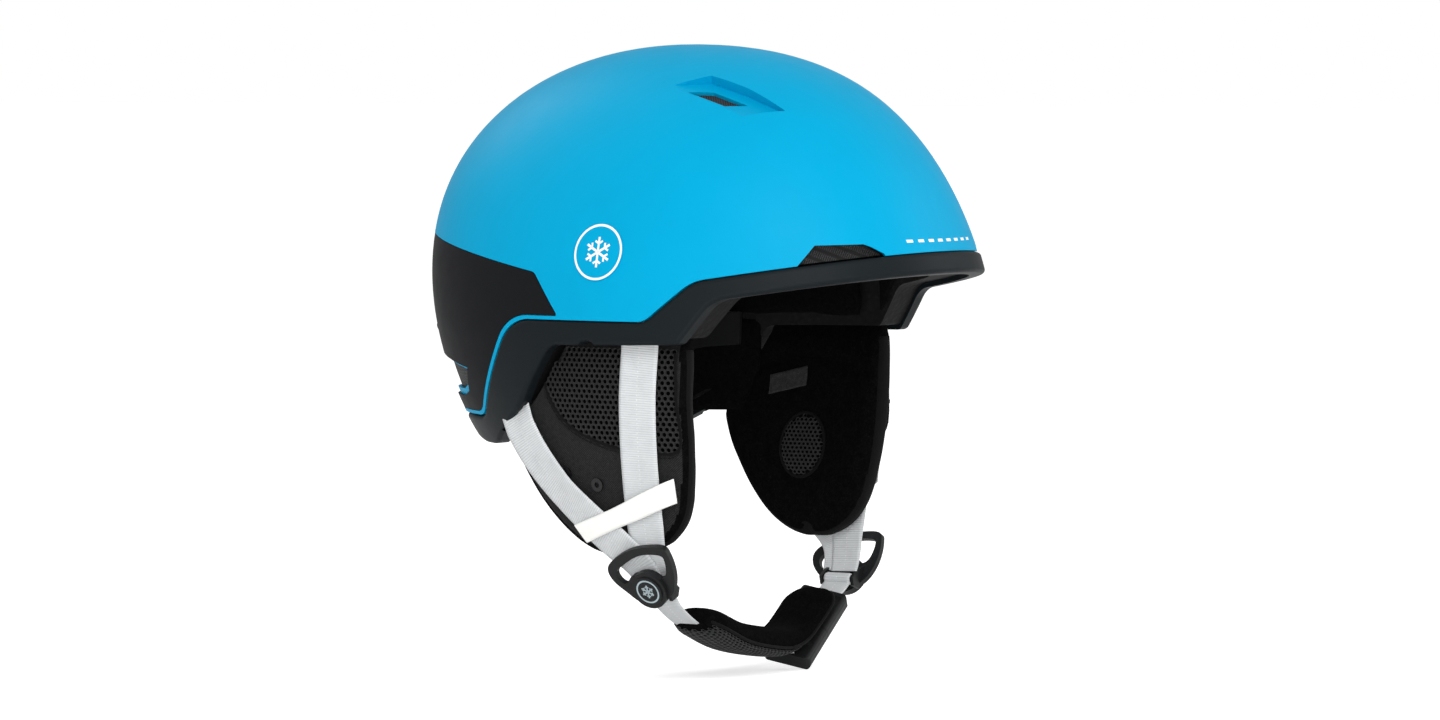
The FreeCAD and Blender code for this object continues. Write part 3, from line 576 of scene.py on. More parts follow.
def strap_weave():
    """Silver webbing: warp cords along it, a stitch row down the middle.  The hollows between
    the cords and ribs are tinted darker as painted shade; the same colour mottles it at random.
    """
    paint = Paint("webbing_silver", (0.645, 0.665, 0.675), 0.52, 0.5)
    hollow_shade_and_mottle = (0.36, 0.375, 0.39)
    across = paint.stripes((1, 0, 0), 0.62, space=paint.uv)
    along = paint.stripes((0, 1, 0), 1.1, space=paint.uv)
    # painted shade: darker tint in the hollows between the ribs and between the cords
    paint.tint(paint.spread(along, 0.55, 0.0, 0.0, 0.55), hollow_shade_and_mottle)
    paint.tint(paint.spread(across, 0.28, 0.0, 0.0, 0.5), hollow_shade_and_mottle)
    split = paint.add("ShaderNodeSeparateXYZ")
    paint.link(paint.uv, split.inputs[0])
    middle = paint.sum(paint.sum(split.outputs["X"], 0.0, "ABSOLUTE"), 0.3, "LESS_THAN")
    stitch = paint.spread(paint.stripes((0, 1, 0), 2.2, space=paint.uv), 0.0, 1.0, 0.7, 0.9)
    dots = paint.sum(middle, stitch, "MULTIPLY")
    paint.tint(paint.sum(dots, 0.5, "MULTIPLY"), (0.86, 0.87, 0.88))
    # the same darker colour again, in random patches
    paint.mottle(7.0, 3.0, 0.25, 0.45, 0.8, hollow_shade_and_mottle)
    paint.rough(paint.noise(4.0, 2.0), 0.42, 0.62)
    paint.bump(across, 0.07)
    paint.bump(dots, 0.12)
    paint.bump(paint.noise(0.3, 2.0), 0.04)
    paint.fuzz(0.15)
    return paint.material


def satin_tape():
    """White woven tape of the strap keepers.  The hollows between the weft threads are tinted
    darker as painted shade; the same colour mottles it at random.
    """
    paint = Paint("keeper_tape", (0.90, 0.90, 0.865), 0.5, 0.5)
    weft = paint.stripes((0, 1, 0), 0.45, space=paint.uv)
    hollow_shade_and_mottle = (0.7, 0.7, 0.68)
    # painted shade: darker tint in the hollows between the weft threads
    paint.tint(paint.spread(weft, 0.12, 0.0, 0.0, 0.6), hollow_shade_and_mottle)
    paint.mottle(8.0, 2.0, 0.18, 0.45, 0.75, hollow_shade_and_mottle)
    paint.bump(weft, 0.03)
    paint.bump(paint.noise(6.0, 1.0), 0.25)
    paint.fuzz(0.2)
    return paint.material


def foam_beads():
    """Black expanded foam: pressed beads with fine joints."""
    paint = Paint("liner_foam", (0.0055, 0.0055, 0.006), 0.75, 0.15)
    beads = paint.cells(3.4)
    paint.tint(paint.spread(beads, 0.5, 0.0, 0.0, 0.5), (0.012, 0.012, 0.013))
    paint.bump(paint.spread(beads, 1.0, 0.0, 0.0, 0.75), 0.25)
    paint.bump(paint.noise(0.6, 2.0), 0.05)
    return paint.material


def vent_net():
    """Fine woven dust net for the vents."""
    color = (0.055, 0.055, 0.058)
    paint = Paint("vent_net", color, 0.7, 0.4)
    one = paint.stripes((0.7, 0.7, 0.2), 1.0)
    two = paint.stripes((-0.7, 0.6, 0.4), 1.0)
    holes = paint.sum(one, two, "MINIMUM")
    paint.tint(paint.spread(holes, 1.0, 0.0, 0.15, 0.5), shade(color, 0.15))
    paint.bump(holes, 0.3)
    paint.bump(paint.noise(0.4, 2.0), 0.05)
    return paint.material


def gloss(name, color, metallic, roughness):
    """Metal, or plastic with a metal-like gloss."""
    paint = Paint(name, color, roughness)
    paint.put("Metallic", metallic)
    paint.rough(paint.noise(3.0, 4.0), roughness - 0.06, roughness + 0.1)
    paint.bump(paint.stripes((0, 0.2, 1), 0.3, 4.0), 0.006)
    return paint.material


def print_ink(name, color):
    """Slightly worn print."""
    paint = Paint(name, color, 0.4)
    paint.mottle(0.8, 4.0, 0.12, 0.55, 0.8, shade(color, 0.8))
    paint.bump(paint.noise(0.5, 2.0), 0.01)
    return paint.material


SHELL = shell_paint()
PANEL = moulded("panel_plastic", (0.0085, 0.0090, 0.0105), 0.5, 0.45, 0.02, 0.05).material
RIM = moulded("rim_plastic", (0.0080, 0.0112, 0.0132), 0.46, 0.45, 0.014, 0.08).material
HARD = moulded("hardware_plastic", (0.0100, 0.0105, 0.0112), 0.42, 0.3, 0.02, 0.2).material
FLEECE = fleece("fleece", (0.0030, 0.0029, 0.0030), sheen=0.01)
LINING = fleece("lining", (0.0034, 0.0034, 0.0037), 0.5, 0.14, 0.01)
# near-black ground cloth for the net hole floors, darker than the pad cloth under it: partly the
# ground fabric, partly painted shade in the holes
HOLE_GROUND_SHADE = fleece("net_ground_and_shade", (0.0012, 0.0012, 0.0012), 0.5, 0.1, 0.0)
TWILL = twill()
YARN = yarn()
TAPE = knit_tape()
WEBBING = strap_weave()
SATIN = satin_tape()
FOAM = foam_beads()
NET = vent_net()
STEEL = gloss("steel", (0.55, 0.55, 0.56), 1.0, 0.35)
SNAP = gloss("snap_gloss", (0.022, 0.022, 0.024), 0.6, 0.22)
LABEL = fleece("label_tape", (0.028, 0.027, 0.028), 0.4, 0.05, 0.1)
MARK = print_ink("mark_white", (0.82, 0.84, 0.86))
RING = print_ink("cap_print", (0.36, 0.44, 0.47))


def dress_cad():
    """Give each CAD node that stays in view its own material."""
    looks = [(SHELL, ["outer_shell", "side_badge"]), (PANEL, ["rear_shell_panel"]),
             (RIM, ["lower_rim"]), (FOAM, ["impact_liner"]),
             (NET, ["top_vent_mesh", "front_vent_mesh", "rear_vent_mesh"]),
             (STEEL, ["strap_rivets", "dial_axle", "goggle_clip_pin", "magnet_lower",
                      "magnet_upper"]),
             (HARD, ["fit_cradle", "fit_dial", "goggle_clip_base", "goggle_clip",
                     "buckle_lower", "buckle_upper"])]
    for word in SIDES.values():
        looks += [(HARD, ["divider_" + word, "divider_cap_" + word]),
                  (SNAP, ["ear_snaps_" + word]), (LINING, ["speaker_blank_" + word])]
    for look, names in looks:
        for name in names:
            for slot in nodes[name].material_slots:
                slot.material = look
    for name in ("buckle_lower", "buckle_upper", "divider_right", "divider_left", "goggle_clip",
                 "fit_cradle", "goggle_clip_base", "divider_cap_right", "divider_cap_left"):
        edge = nodes[name].modifiers.new("edges", "BEVEL")
        edge.width = 0.45 * MM
        edge.segments = 2
        edge.limit_method = "ANGLE"
        edge.angle_limit = math.radians(35)
        edge.harden_normals = True


# ---- soft goods ---------------------------------------------------------------------

def solid_copy(node, name):
    """Even voxel mesh of a CAD solid's outer surface, drawn in by a few tenths."""
    voxel = 3.5
    shift_in = 0.8
    piece = bpy.data.objects.new(name, nodes[node].data.copy())
    bpy.context.scene.collection.objects.link(piece)
    for slot in piece.material_slots:
        slot.material = None
    remesh = piece.modifiers.new("even", "REMESH")
    remesh.mode = "VOXEL"
    remesh.voxel_size = voxel * MM
    freeze(piece)
    drop_small_islands(piece)
    shrink = piece.modifiers.new("shrink", "DISPLACE")
    shrink.strength = -shift_in * MM
    shrink.mid_level = 0.0
    return freeze(piece)


def drop_small_islands(piece):
    """Keep the widest connected island, so an inner pocket doesn't stay in a soft pad."""
    mesh = piece.data
    count = len(mesh.vertices)
    label = np.arange(count)
    edges = np.array([e.vertices[:] for e in mesh.edges])
    while True:
        low = np.minimum(label[edges[:, 0]], label[edges[:, 1]])
        before = label.copy()
        np.minimum.at(label, edges[:, 0], low)
        np.minimum.at(label, edges[:, 1], low)
        label = label[label]
        if (label == before).all():
            break
    co = coordinates(mesh)
    keep = set()
    for island in np.unique(label):
        members = label == island
        size = np.ptp(co[members], axis=0).sum()
        keep.add((size, int(island)))
    best = max(keep)[1]
    good = label == best
    if good.all():
        return
    order = np.cumsum(good) - 1
    faces = [[int(order[v]) for v in p.vertices] for p in mesh.polygons if good[p.vertices[0]]]
    new = bpy.data.meshes.new(mesh.name)
    new.from_pydata([tuple(c) for c in co[good] * MM], [], faces)
    piece.data = new


def puff(piece, pressure, cap, held=None):
    """Cloth simulation with inner pressure; no point moves further than cap millimetres.
    held gives each point a 0 to 1 share of being pinned."""
    frames = 20
    rest = coordinates(piece.data)
    cloth = piece.modifiers.new("cloth", "CLOTH")
    settings = cloth.settings
    settings.quality = 6
    settings.mass = 0.25
    settings.use_pressure = True
    settings.uniform_pressure_force = pressure
    settings.tension_stiffness = 12
    settings.compression_stiffness = 12
    settings.bending_stiffness = 0.4
    settings.effector_weights.gravity = 0.0
    cloth.collision_settings.use_collision = False
    cloth.collision_settings.use_self_collision = False
    if held is not None:
        group = piece.vertex_groups.new(name="held")
        for i, weight in enumerate(held):
            if weight > 0:
                group.add([i], float(weight), "REPLACE")
        settings.vertex_group_mass = "held"
    cloth.point_cache.frame_start = 1
    cloth.point_cache.frame_end = frames
    scene = bpy.context.scene
    for number in range(1, frames + 1):
        scene.frame_set(number)
    graph = bpy.context.evaluated_depsgraph_get()
    result = bpy.data.meshes.new_from_object(piece.evaluated_get(graph))
    moved = coordinates(result) - rest
    length = np.linalg.norm(moved, axis=1)
    share = np.minimum(1, cap / np.maximum(length, 1e-6))
    piece.modifiers.clear()
    piece.vertex_groups.clear()
    set_coordinates(piece.data, rest + moved * share[:, None])
    scene.frame_set(1)
    return smooth_piece(piece, 3)


def smooth_piece(piece, repeat):
    ease = piece.modifiers.new("ease", "SMOOTH")
    ease.factor = 0.5
    ease.iterations = repeat
    fine = piece.modifiers.new("fine", "SUBSURF")
    fine.levels = 1
    fine.render_levels = 1
    freeze(piece)
    piece.data.polygons.foreach_set("use_smooth", [True] * len(piece.data.polygons))
    return piece


def paint_faces(piece, materials, choose):
    """Give each face one of the materials by choose(centre, normal)."""
    mesh = piece.data
    mesh.materials.clear()
    for material in materials:
        mesh.materials.append(material)
    for polygon in mesh.polygons:
        polygon.material_index = choose(np.array(polygon.center) / MM, polygon.normal)


def outline_ring():
    """Points (y, z) of the pad outline below the rim, and the outward normals there."""
    count = 240
    ring = curve_points(PAD_OUTLINE, count, closed=True)
    ahead = tangents(ring, closed=True)
    # the outline runs down the front, along the bottom and up the back
    normal = np.stack([ahead[:, 1], -ahead[:, 0]], axis=1)
    if np.dot(normal[count // 8], np.array([-1.0, 0.0])) < 0:
        normal = -normal
    keep = (ring[:, 1] < PAD_TOP - 0.4) & (ring[:, 0] < rim_limit(ring[:, 1]) - 0.4)
    return ring[keep], normal[keep]


def groove(piece, line, width, depth, direction):
    """Press a stitched channel into a soft piece along a line of points."""
    co = coordinates(piece.data)
    near = np.full(len(co), 1e9)
    for p in line:
        near = np.minimum(near, np.linalg.norm(co - p, axis=1))
    push = depth * np.exp(-(near / width) ** 2)
    set_coordinates(piece.data, co + push[:, None] * np.array(direction, float))


def pad_grid():
    """Closed skin of an ear pad: for each height one ring round its section.  Above the
    rim's edge the pad thins to a tongue of cloth that goes up inside the shell."""
    outline = curve_points(PAD_OUTLINE, 700, closed=True)
    across = 34
    levels = 38
    heights = [TONGUE_TOP, TONGUE_TOP - 3]
    for k in range(levels):
        down = math.sin(math.pi / 2 * k / (levels - 1))
        heights.append(PAD_TOP + (PAD_BOTTOM - PAD_TOP) * down)
    points = []
    for z in heights:
        low = np.minimum(outline[:, 1], np.roll(outline[:, 1], -1))
        high = np.maximum(outline[:, 1], np.roll(outline[:, 1], -1))
        near = outline[(low <= z) & (high >= z), 0]
        front, back = near.min(), min(near.max(), rim_limit(min(z, PAD_TOP)))
        turn = 0.5 - 0.5 * np.cos(np.pi * np.arange(across) / (across - 1))
        spread = front + (back - front) * turn
        far = np.hypot(outline[:, 0][None, :] - spread[:, None], outline[:, 1] - z).min(axis=1)
        pinch = 1.0 if z > PAD_TOP + 1 else 0.0
        outer, inner = [], []
        for y, gap in zip(spread, far):
            turn_out = EDGE_OUT - math.sqrt(EDGE_OUT ** 2 - max(0.0, EDGE_OUT - gap) ** 2)
            turn_in = EDGE_IN - math.sqrt(EDGE_IN ** 2 - max(0.0, EDGE_IN - gap) ** 2)
            outer.append(side_point(RIGHT, y, z, -0.2 - max(turn_out, 5.0 * pinch)))
            inner.append(side_point(RIGHT, y, z, -PAD_THICK + max(turn_in, 4.0 * pinch)))
        points += outer + inner[::-1]
    ring, rows = 2 * across, len(heights)
    faces = grid_faces(rows, ring, wrap_columns=True)
    for row in (0, rows - 1):
        for j in range(across - 1):
            a = row * ring + j
            b = row * ring + ring - 1 - j
            quad = (a, b, b - 1, a + 1)
            faces.append(quad if row else quad[::-1])
    return points, faces


def ear_pad_right():
    """Puffed pad: twill outside, brushed fleece round its side and inside."""
    points, faces = pad_grid()
    pad = mesh_piece("ear_cushion_right", points, faces, TWILL)
    reach = np.array([side_x(p[1], p[2]) + p[0] for p in points])
    held = np.clip((EDGE_OUT + 1.5 - reach) / 3.0, 0, 1) * 0.95
    puff(pad, 3.5, 2.4, held)
    co = coordinates(pad.data)
    # the outer side stays behind the straps, and lower still under the net panel
    panel = curve_points(MESH_OUTLINE, 90)
    room = np.array([NET_ROOM if inside(panel, y, z) else 0.15 for y, z in co[:, 1:]])
    co[:, 0] = np.maximum(co[:, 0], room - side_x(co[:, 1], co[:, 2]))
    set_coordinates(pad.data, co)
    top = [side_point(RIGHT, y, -9 - 0.006 * (y + 4) ** 2, -PAD_THICK - 1.0)
           for y in np.linspace(-36, 34, 50)]
    groove(pad, top, 2.4, 1.6, (-1, 0, 0))
    outline = curve_points(PAD_OUTLINE, 300, closed=True)

    def kind(centre, normal):
        gap = np.hypot(outline[:, 0] - centre[1], outline[:, 1] - centre[2]).min()
        return 0 if normal.x < -0.4 and gap > 3.0 else 1

    paint_faces(pad, [TWILL, FLEECE], kind)
    return pad


def surface_finder(piece):
    """Ray test on a finished piece: start and direction in, place out."""
    tree = tree_of(piece.data)

    def find(start, direction):
        place = tree.ray_cast(Vector(start) * MM, Vector(direction))[0]
        if place is None:
            return None
        return np.array(place) / MM

    return find


def inner_face(find, side, y, z, lift):
    """Point over the inner face of an ear pad, lifted towards the head."""
    place = find((side * 30.0, y, z), (side, 0, 0))
    if place is None:
        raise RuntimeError("nothing to sew on inside the ear pad")
    return place - np.array([side * lift, 0, 0])


def spacer_panel(side):
    """Net panel sewn to the upper part of the pad's outer face."""
    outline = curve_points(MESH_OUTLINE, 90)

    def place(u, v, height):
        return side_point(side, u, v, height)

    def wanted(u, v):
        return v < PAD_TOP - 1.2 and inside(outline, u, v) and u < rim_limit(v) - 1.5

    return honeycomb("spacer_net_" + SIDES[side], place, wanted, (-44, 40), (-50, 8),
                     (3.0, 2.4), hole=0.8, crest=0.45, sink=-0.8, floor_shade=HOLE_GROUND_SHADE)


def net_seam(side):
    """Rolled seam along the lower edge of the net panel."""
    path = curve_points(MESH_OUTLINE, 160)
    path = path[(path[:, 1] < PAD_TOP - 1) & (path[:, 0] < rim_limit(path[:, 1]) - 0.5)]
    centres = np.array([side_point(side, y, z, 0.2) for y, z in path])
    return swept_tube("net_seam_" + SIDES[side], centres, 0.75, flat=0.7)


def net_stitches(side):
    """Row of short threads on the pad's outer face, just below the net panel."""
    pitch = 3.0
    long = 1.7
    out = 0.15
    path = curve_points(MESH_OUTLINE, 220)
    path = path[(path[:, 1] < -3) & (path[:, 0] < rim_limit(path[:, 1]) - 3)]
    line = path + np.array([0.4, -1.9])
    points, faces = [], []
    for k in range(int(len(line) // pitch)):
        i = int(k * pitch)
        ahead = unit(line[min(i + 1, len(line) - 1)] - line[max(i - 1, 0)])
        base = len(points)
        for step in (-1, -0.5, 0, 0.5, 1):
            centre = line[i] + ahead * step * long / 2
            lift = 0.22 * (1 - step * step)
            for a in range(6):
                angle = math.pi * a / 3
                wide = 0.2 * math.cos(angle)
                high = out + lift + 0.2 * math.sin(angle)
                points.append(side_point(side, centre[0] - ahead[1] * wide,
                                         centre[1] + ahead[0] * wide, high))
        faces += grid_faces(5, 6, wrap_columns=True, first=base)
    return mesh_piece("net_stitches_" + SIDES[side], points, faces, TAPE)


def pad_binding(pad):
    """Stretch tape laid on the side wall of the right pad, hugging its skin."""
    find = surface_finder(pad)
    ring, normals = outline_ring()
    depths = np.linspace(-2.6, -10.4, 9)
    points = []
    for (y, z), (ny, nz) in zip(ring, normals):
        towards = np.array([0.0, -ny, -nz])
        upper, lower = [], []
        for depth in depths:
            start = side_point(RIGHT, y, z, depth) - towards * 12
            place = find(start, towards)
            if place is None or np.linalg.norm(place - start) > 20:
                place = start + towards * 13.5
            rise = 0.35 * (1 - abs(depth + 6.5) ** 6 / 3.9 ** 6)
            upper.append(place - towards * rise)
            lower.append(place + towards * 1.2)
        points += upper + lower[::-1]
    return mesh_piece("pad_binding_right", points, ring_strip(len(ring), 2 * len(depths)), TAPE)


def speaker_grille(side, find):
    """Net window over the speaker pocket on the inside of the pad."""
    half_y, half_z = SPEAKER_WINDOW

    def place(u, v, height):
        return inner_face(find, side, u, v, height + 0.35)

    def wanted(u, v):
        return ((u - SPEAKER_Y) / half_y) ** 2 + ((v - SPEAKER_Z) / half_z) ** 2 < 1

    return honeycomb("speaker_net_" + SIDES[side], place, wanted,
                     (SPEAKER_Y - 14, SPEAKER_Y + 14), (SPEAKER_Z - 17, SPEAKER_Z + 17),
                     (2.35, 1.95), hole=0.7, crest=0.35, sink=-0.25, floor_shade=HOLE_GROUND_SHADE)


def speaker_ring(side, find, count, lift):
    """Points of the seam line round the speaker net."""
    ring = []
    for a in np.linspace(0, 2 * math.pi, count, endpoint=False):
        y = SPEAKER_Y + SPEAKER_SEAM[0] * math.cos(a)
        z = SPEAKER_Z + SPEAKER_SEAM[1] * math.sin(a)
        ring.append(inner_face(find, side, y, z, lift))
    return np.array(ring)


def grille_seam(side, find):
    """Rolled seam round the speaker net."""
    return swept_tube("speaker_seam_" + SIDES[side], speaker_ring(side, find, 72, 0.3), 0.7,
                      closed=True)


def size_tag(find):
    """Blank woven tag sewn in by its top edge on the inside of the left pad."""
    points, uv = [], []
    rows, columns = 10, 16
    for layer in (0, 1):
        for i in range(rows):
            for j in range(columns):
                y = -2.2 + 20.0 * j / (columns - 1)
                z = -14.0 - 9.5 * i / (rows - 1) - 0.24 * (y + 2.2)
                curl = 0.9 * (i / (rows - 1)) ** 2 + 0.3 * math.sin(y * 0.35) ** 2
                points.append(inner_face(find, LEFT, y, z, 0.5 + curl + 0.45 * layer))
                uv.append((y, z))
    size = rows * columns
    faces = grid_faces(rows, columns) + [f[::-1] for f in grid_faces(rows, columns, first=size)]
    rim = list(range(columns)) + [i * columns + columns - 1 for i in range(1, rows)]
    rim += [(rows - 1) * columns + j for j in range(columns - 2, -1, -1)]
    rim += [i * columns for i in range(rows - 2, 0, -1)]
    for k in range(len(rim)):
        a, b = rim[k], rim[(k + 1) % len(rim)]
        faces.append((b, a, a + size, b + size))
    return mesh_piece("size_tag_left", points, faces, LABEL, uv=uv)


# ---- straps -------------------------------------------------------------------------

def divider_place(side):
    """Middle of a divider's bar."""
    place = np.array([side * BAR_X, WEB_Y, BAR_Z])
    return place + LEFT_HANG if side == LEFT else place


def strap_line(side, path, out, end):
    """Centre line of a side strap that ends behind its divider."""
    step = 0.28
    flat = curve_points(path, 400)
    # the upper end goes up inside the shell
    tuck = STRAP_TUCK * np.clip((flat[:, 1] - flat[0, 1] + STRAP_TUCK_RUN) / STRAP_TUCK_RUN, 0, 1)
    centres = np.array([side_point(side, y, z, out + STRAP_THICK / 2 - inward)
                        for (y, z), inward in zip(flat, tuck)])
    if side == LEFT:
        centres = hang_forward(centres)
    last = centres[-1]
    goal = divider_place(side) + np.array(end) * np.array([side, 1, 1])
    lead = tangents(centres)[-1] * 9.0
    pull = goal + np.array([side * 3.5, 0, 7.0])
    # bend from the pad face over to the bar behind the boss
    bend = []
    for t in np.linspace(0.03, 1, 60):
        bend.append(last * (1 - t) ** 3 + 3 * (last + lead) * t * (1 - t) ** 2
                    + 3 * pull * t * t * (1 - t) + goal * t ** 3)
    centres = np.concatenate([centres, bend])
    run = np.linalg.norm(np.diff(centres, axis=0), axis=1).sum()
    return curve_points(centres, int(run / step))


def strap_acrosses(side, centres, roll):
    """Width directions: flat on the pad's face and square to the line.  A roll lays the
    strap over the pad's rear edge and fades out towards the divider."""
    across = []
    for i, t in enumerate(tangents(centres)):
        y, z = centres[i][1], centres[i][2]
        slope_y = side_x(y + 0.5, z) - side_x(y - 0.5, z)
        slope_z = side_x(y, z + 0.5) - side_x(y, z - 0.5)
        share = max(0.0, (i / len(centres) - 0.75) / 0.25)
        normal = unit(np.array([side, -slope_y, -slope_z - 0.4 * share]))
        wide = unit(np.cross(normal, t))
        if wide[1] > 0:
            wide = -wide
        angle = roll * (1 - min(1.0, share * 1.6))
        across.append(wide * math.cos(angle) + normal * math.sin(angle))
    return across


def side_straps(side):
    """The two straps that come down over one ear pad to the divider."""
    word = SIDES[side]
    made = []
    for name, path, out, end, end_width, roll in (
            ("front", FRONT_STRAP, FRONT_OUT, (1.8, -1.6, 3.5), 15.5, 0.0),
            ("rear", REAR_STRAP, REAR_OUT, (3.6, 3.6, 3.5), 16.0, REAR_ROLL)):
        line = strap_line(side, path, out, end)
        widths = []
        for i in range(len(line)):
            share = max(0.0, (i / len(line) - 0.78) / 0.22)
            widths.append(STRAP_WIDE + (end_width - STRAP_WIDE) * share ** 1.2)
        made.append(webbing("strap_" + name + "_" + word + "_web", line,
                            strap_acrosses(side, line, roll), widths, STRAP_THICK * 0.72))
    return made


def keeper(side):
    """Slanted tape that holds the two straps together, cut at an angle at both ends."""
    upper = curve_points([(-37.3, -58.4), (-21, -65.8), (-4, -73.6), (19, -82.2)], 120)
    lower = curve_points([(-37.6, -69.9), (-20, -77.6), (-4, -83.6), (12.5, -90.3)], 120)
    shares = np.linspace(0, 1, 9)
    points, uv = [], []
    for i, t in enumerate(np.linspace(0, 1, len(upper))):
        lift = KEEPER_OUT - 2.6 * max(0, (0.16 - t) / 0.16) ** 2
        for level, row in ((0.4, shares), (-0.4, shares[::-1])):
            for w in row:
                y, z = upper[i] * (1 - w) + lower[i] * w
                bow = 0.5 * math.sin(math.pi * w) * math.sin(math.pi * t)
                high = level * (1 - 0.5 * abs(2 * w - 1) ** 8)
                points.append(side_point(side, y, z, lift + bow + high))
                uv.append((w * 11.5, t * 62))
    faces = ring_strip(len(upper), 2 * len(shares))
    return mesh_piece("keeper_tape_" + SIDES[side], points, faces, SATIN, uv=uv)


def level_line(path, y, count):
    """Points along a path (x, z) in an upright plane at y."""
    flat = curve_points(path, count)
    return np.stack([flat[:, 0], np.full(count, y), flat[:, 1]], axis=1)


def chin_webs():
    """Web from the right divider through the pad, and the short left one."""
    wide = WEB_WIDE - 0.6
    right = level_line(CHIN_PATH, WEB_Y, 520)
    left = level_line([(BAR_X - 1.6, -113.1), (69.6, -116.6), (64.0, -119.2)], WEB_Y, 60)
    return (webbing("chin_web_right_strap", right, FRONT_TO_BACK, wide, 1.1),
            webbing("chin_web_left_strap", left + LEFT_HANG, FRONT_TO_BACK, wide, 1.1))


def web_loop(side):
    """Web turned round the divider's bar."""
    middle = divider_place(side)
    centres = []
    for a in np.linspace(-0.4, 2 * math.pi - 0.9, 90):
        centres.append(middle + 2.25 * np.array([side * math.cos(a), 0, math.sin(a)]))
    return webbing("web_loop_" + SIDES[side], centres, FRONT_TO_BACK, WEB_WIDE - 0.8, 1.0)


# ---- chin pad -----------------------------------------------------------------------

def chin_shape(t):
    """Half width, half height above and half height below the path at 0 <= t <= 1."""
    taper = 1 - max(0.0, (0.10 - t) / 0.10) ** 2 * 0.35
    tip = 1 - max(0.0, (t - 0.90) / 0.10) ** 2.4 * 0.45
    wide = 14.0 * taper * tip
    flap = max(0.0, min(1.0, (t - 0.58) / 0.2))
    above = (8.0 - 4.6 * flap) * taper * tip
    below = (5.6 - 3.6 * flap) * taper * tip
    return wide, above, below


def chin_frame(t):
    """Point of the pad's middle line at 0 <= t <= 1, and the upward normal there."""
    spans = 240
    flat = curve_points(CHIN_PAD_PATH, spans + 1)
    place = t * spans
    i = min(int(place), spans - 1)
    point = flat[i] * (1 - place + i) + flat[i + 1] * (place - i)
    ahead = unit(flat[min(i + 2, spans)] - flat[max(i - 2, 0)])
    return point, np.array([-ahead[1], ahead[0]])


def chin_surface(t, angle, grow=0.0):
    """Point of the pad's surface; angle 0 is the front edge, 90 degrees the top."""
    point, up = chin_frame(t)
    wide, above, below = chin_shape(t)
    c, s = math.cos(angle), math.sin(angle)
    across = (wide + grow) * math.copysign(abs(c) ** 0.85, c)
    high = (above if s > 0 else below) + grow
    rise = high * math.copysign(abs(s) ** 0.8, s)
    flat = point + up * rise
    return np.array([flat[0], CHIN_PAD_Y - across, flat[1]])


def chin_cushion():
    """Lens-shaped pad of brushed fleece that sweeps up into a flap behind the buckle."""
    rows, columns = 110, 44
    points = []
    for i in range(rows):
        t = i / (rows - 1)
        for k in range(columns):
            angle = 2 * math.pi * k / columns
            points.append(chin_surface(t, angle))
    faces = grid_faces(rows, columns, wrap_columns=True)
    for e, row in ((0, 0), (1, rows - 1)):
        ring = points[row * columns:(row + 1) * columns]
        centre = np.mean(ring, axis=0)
        base = len(points)
        points.append(centre)
        for k in range(columns):
            a, b = row * columns + k, row * columns + (k + 1) % columns
            faces.append((base, b, a) if e == 0 else (base, a, b))
    pad = mesh_piece("chin_cushion", points, faces, FLEECE)
    puff(pad, 1.2, 0.9)
    return pad


def chin_net():
    """Net on the lower side of the chin pad."""
    flat = curve_points(CHIN_PAD_PATH, 241)
    long = np.linalg.norm(np.diff(flat, axis=0), axis=1).sum()

    def place(u, v, height):
        return chin_surface(u / long, -v / 13.0, height + 0.25)

    def wanted(u, v):
        return 0.02 < u / long < 0.66 and 3.5 < v < 36

    return honeycomb("chin_net", place, wanted, (2, long), (3.2, 38), (3.0, 2.4), hole=0.64,
                     crest=0.4, sink=-0.35)


def chin_seams():
    """Rolled seams where the fleece meets the net, front and back."""
    made = []
    for name, angle in (("front", -0.16), ("back", math.pi + 0.22)):
        line = np.array([chin_surface(t, angle, 0.15) for t in np.linspace(0.01, 0.99, 150)])
        made.append(swept_tube("chin_seam_" + name, line, 0.75))
    return made


# ---- padding inside the shell -------------------------------------------------------

def inner_pad(node, name):
    """Puffed fleece pad in the room of a CAD pad."""
    pad = solid_copy(node, name)
    puff(pad, 3.0, 2.5)
    pad.data.materials.clear()
    pad.data.materials.append(LINING)
    return pad


def nape_lining():
    """Fleece curtain inside the rear of the shell, from one ear pad round to the other."""
    turns = np.radians(np.linspace(17, 163, 110))
    radii = np.interp(np.degrees(np.minimum(turns, math.pi - turns)),
                      [15, 25, 35, 45, 60, 75, 90], [86.5, 85.5, 86.8, 85.5, 90.0, 93.5, 99.5])
    points = []
    levels = np.linspace(8.0, LINING_LOW, 16)
    for turn, radius in zip(turns, radii):
        outer, inner = [], []
        for k, z in enumerate(levels):
            share = k / (len(levels) - 1)
            ripple = 0.35 * math.sin(turn * 31) * share
            for row, depth in ((outer, 0.0), (inner, -2.4 + 1.0 * abs(2 * share - 1) ** 6)):
                reach = radius + ripple + depth + 1.5 * (1 - share) ** 2
                row.append((reach * math.cos(turn), reach * math.sin(turn), z))
        points += outer + inner[::-1]
    return mesh_piece("nape_lining", points, ring_strip(len(turns), 2 * len(levels)), LINING)


# ---- printed marks ------------------------------------------------------------------

def flat_mark(name, shapes, hit, material, lift=0.10):
    """Thin printed shapes laid on a surface; hit(a, b) gives a surface point and normal."""
    points, faces = [], []
    for grid in shapes:
        rows, columns = len(grid), len(grid[0])
        base = len(points)
        for row in grid:
            for a, b in row:
                place, normal = hit(a, b)
                points.append(place + normal * lift)
        faces += grid_faces(rows, columns, first=base)
    return mesh_piece(name, points, faces, material, closed=False)


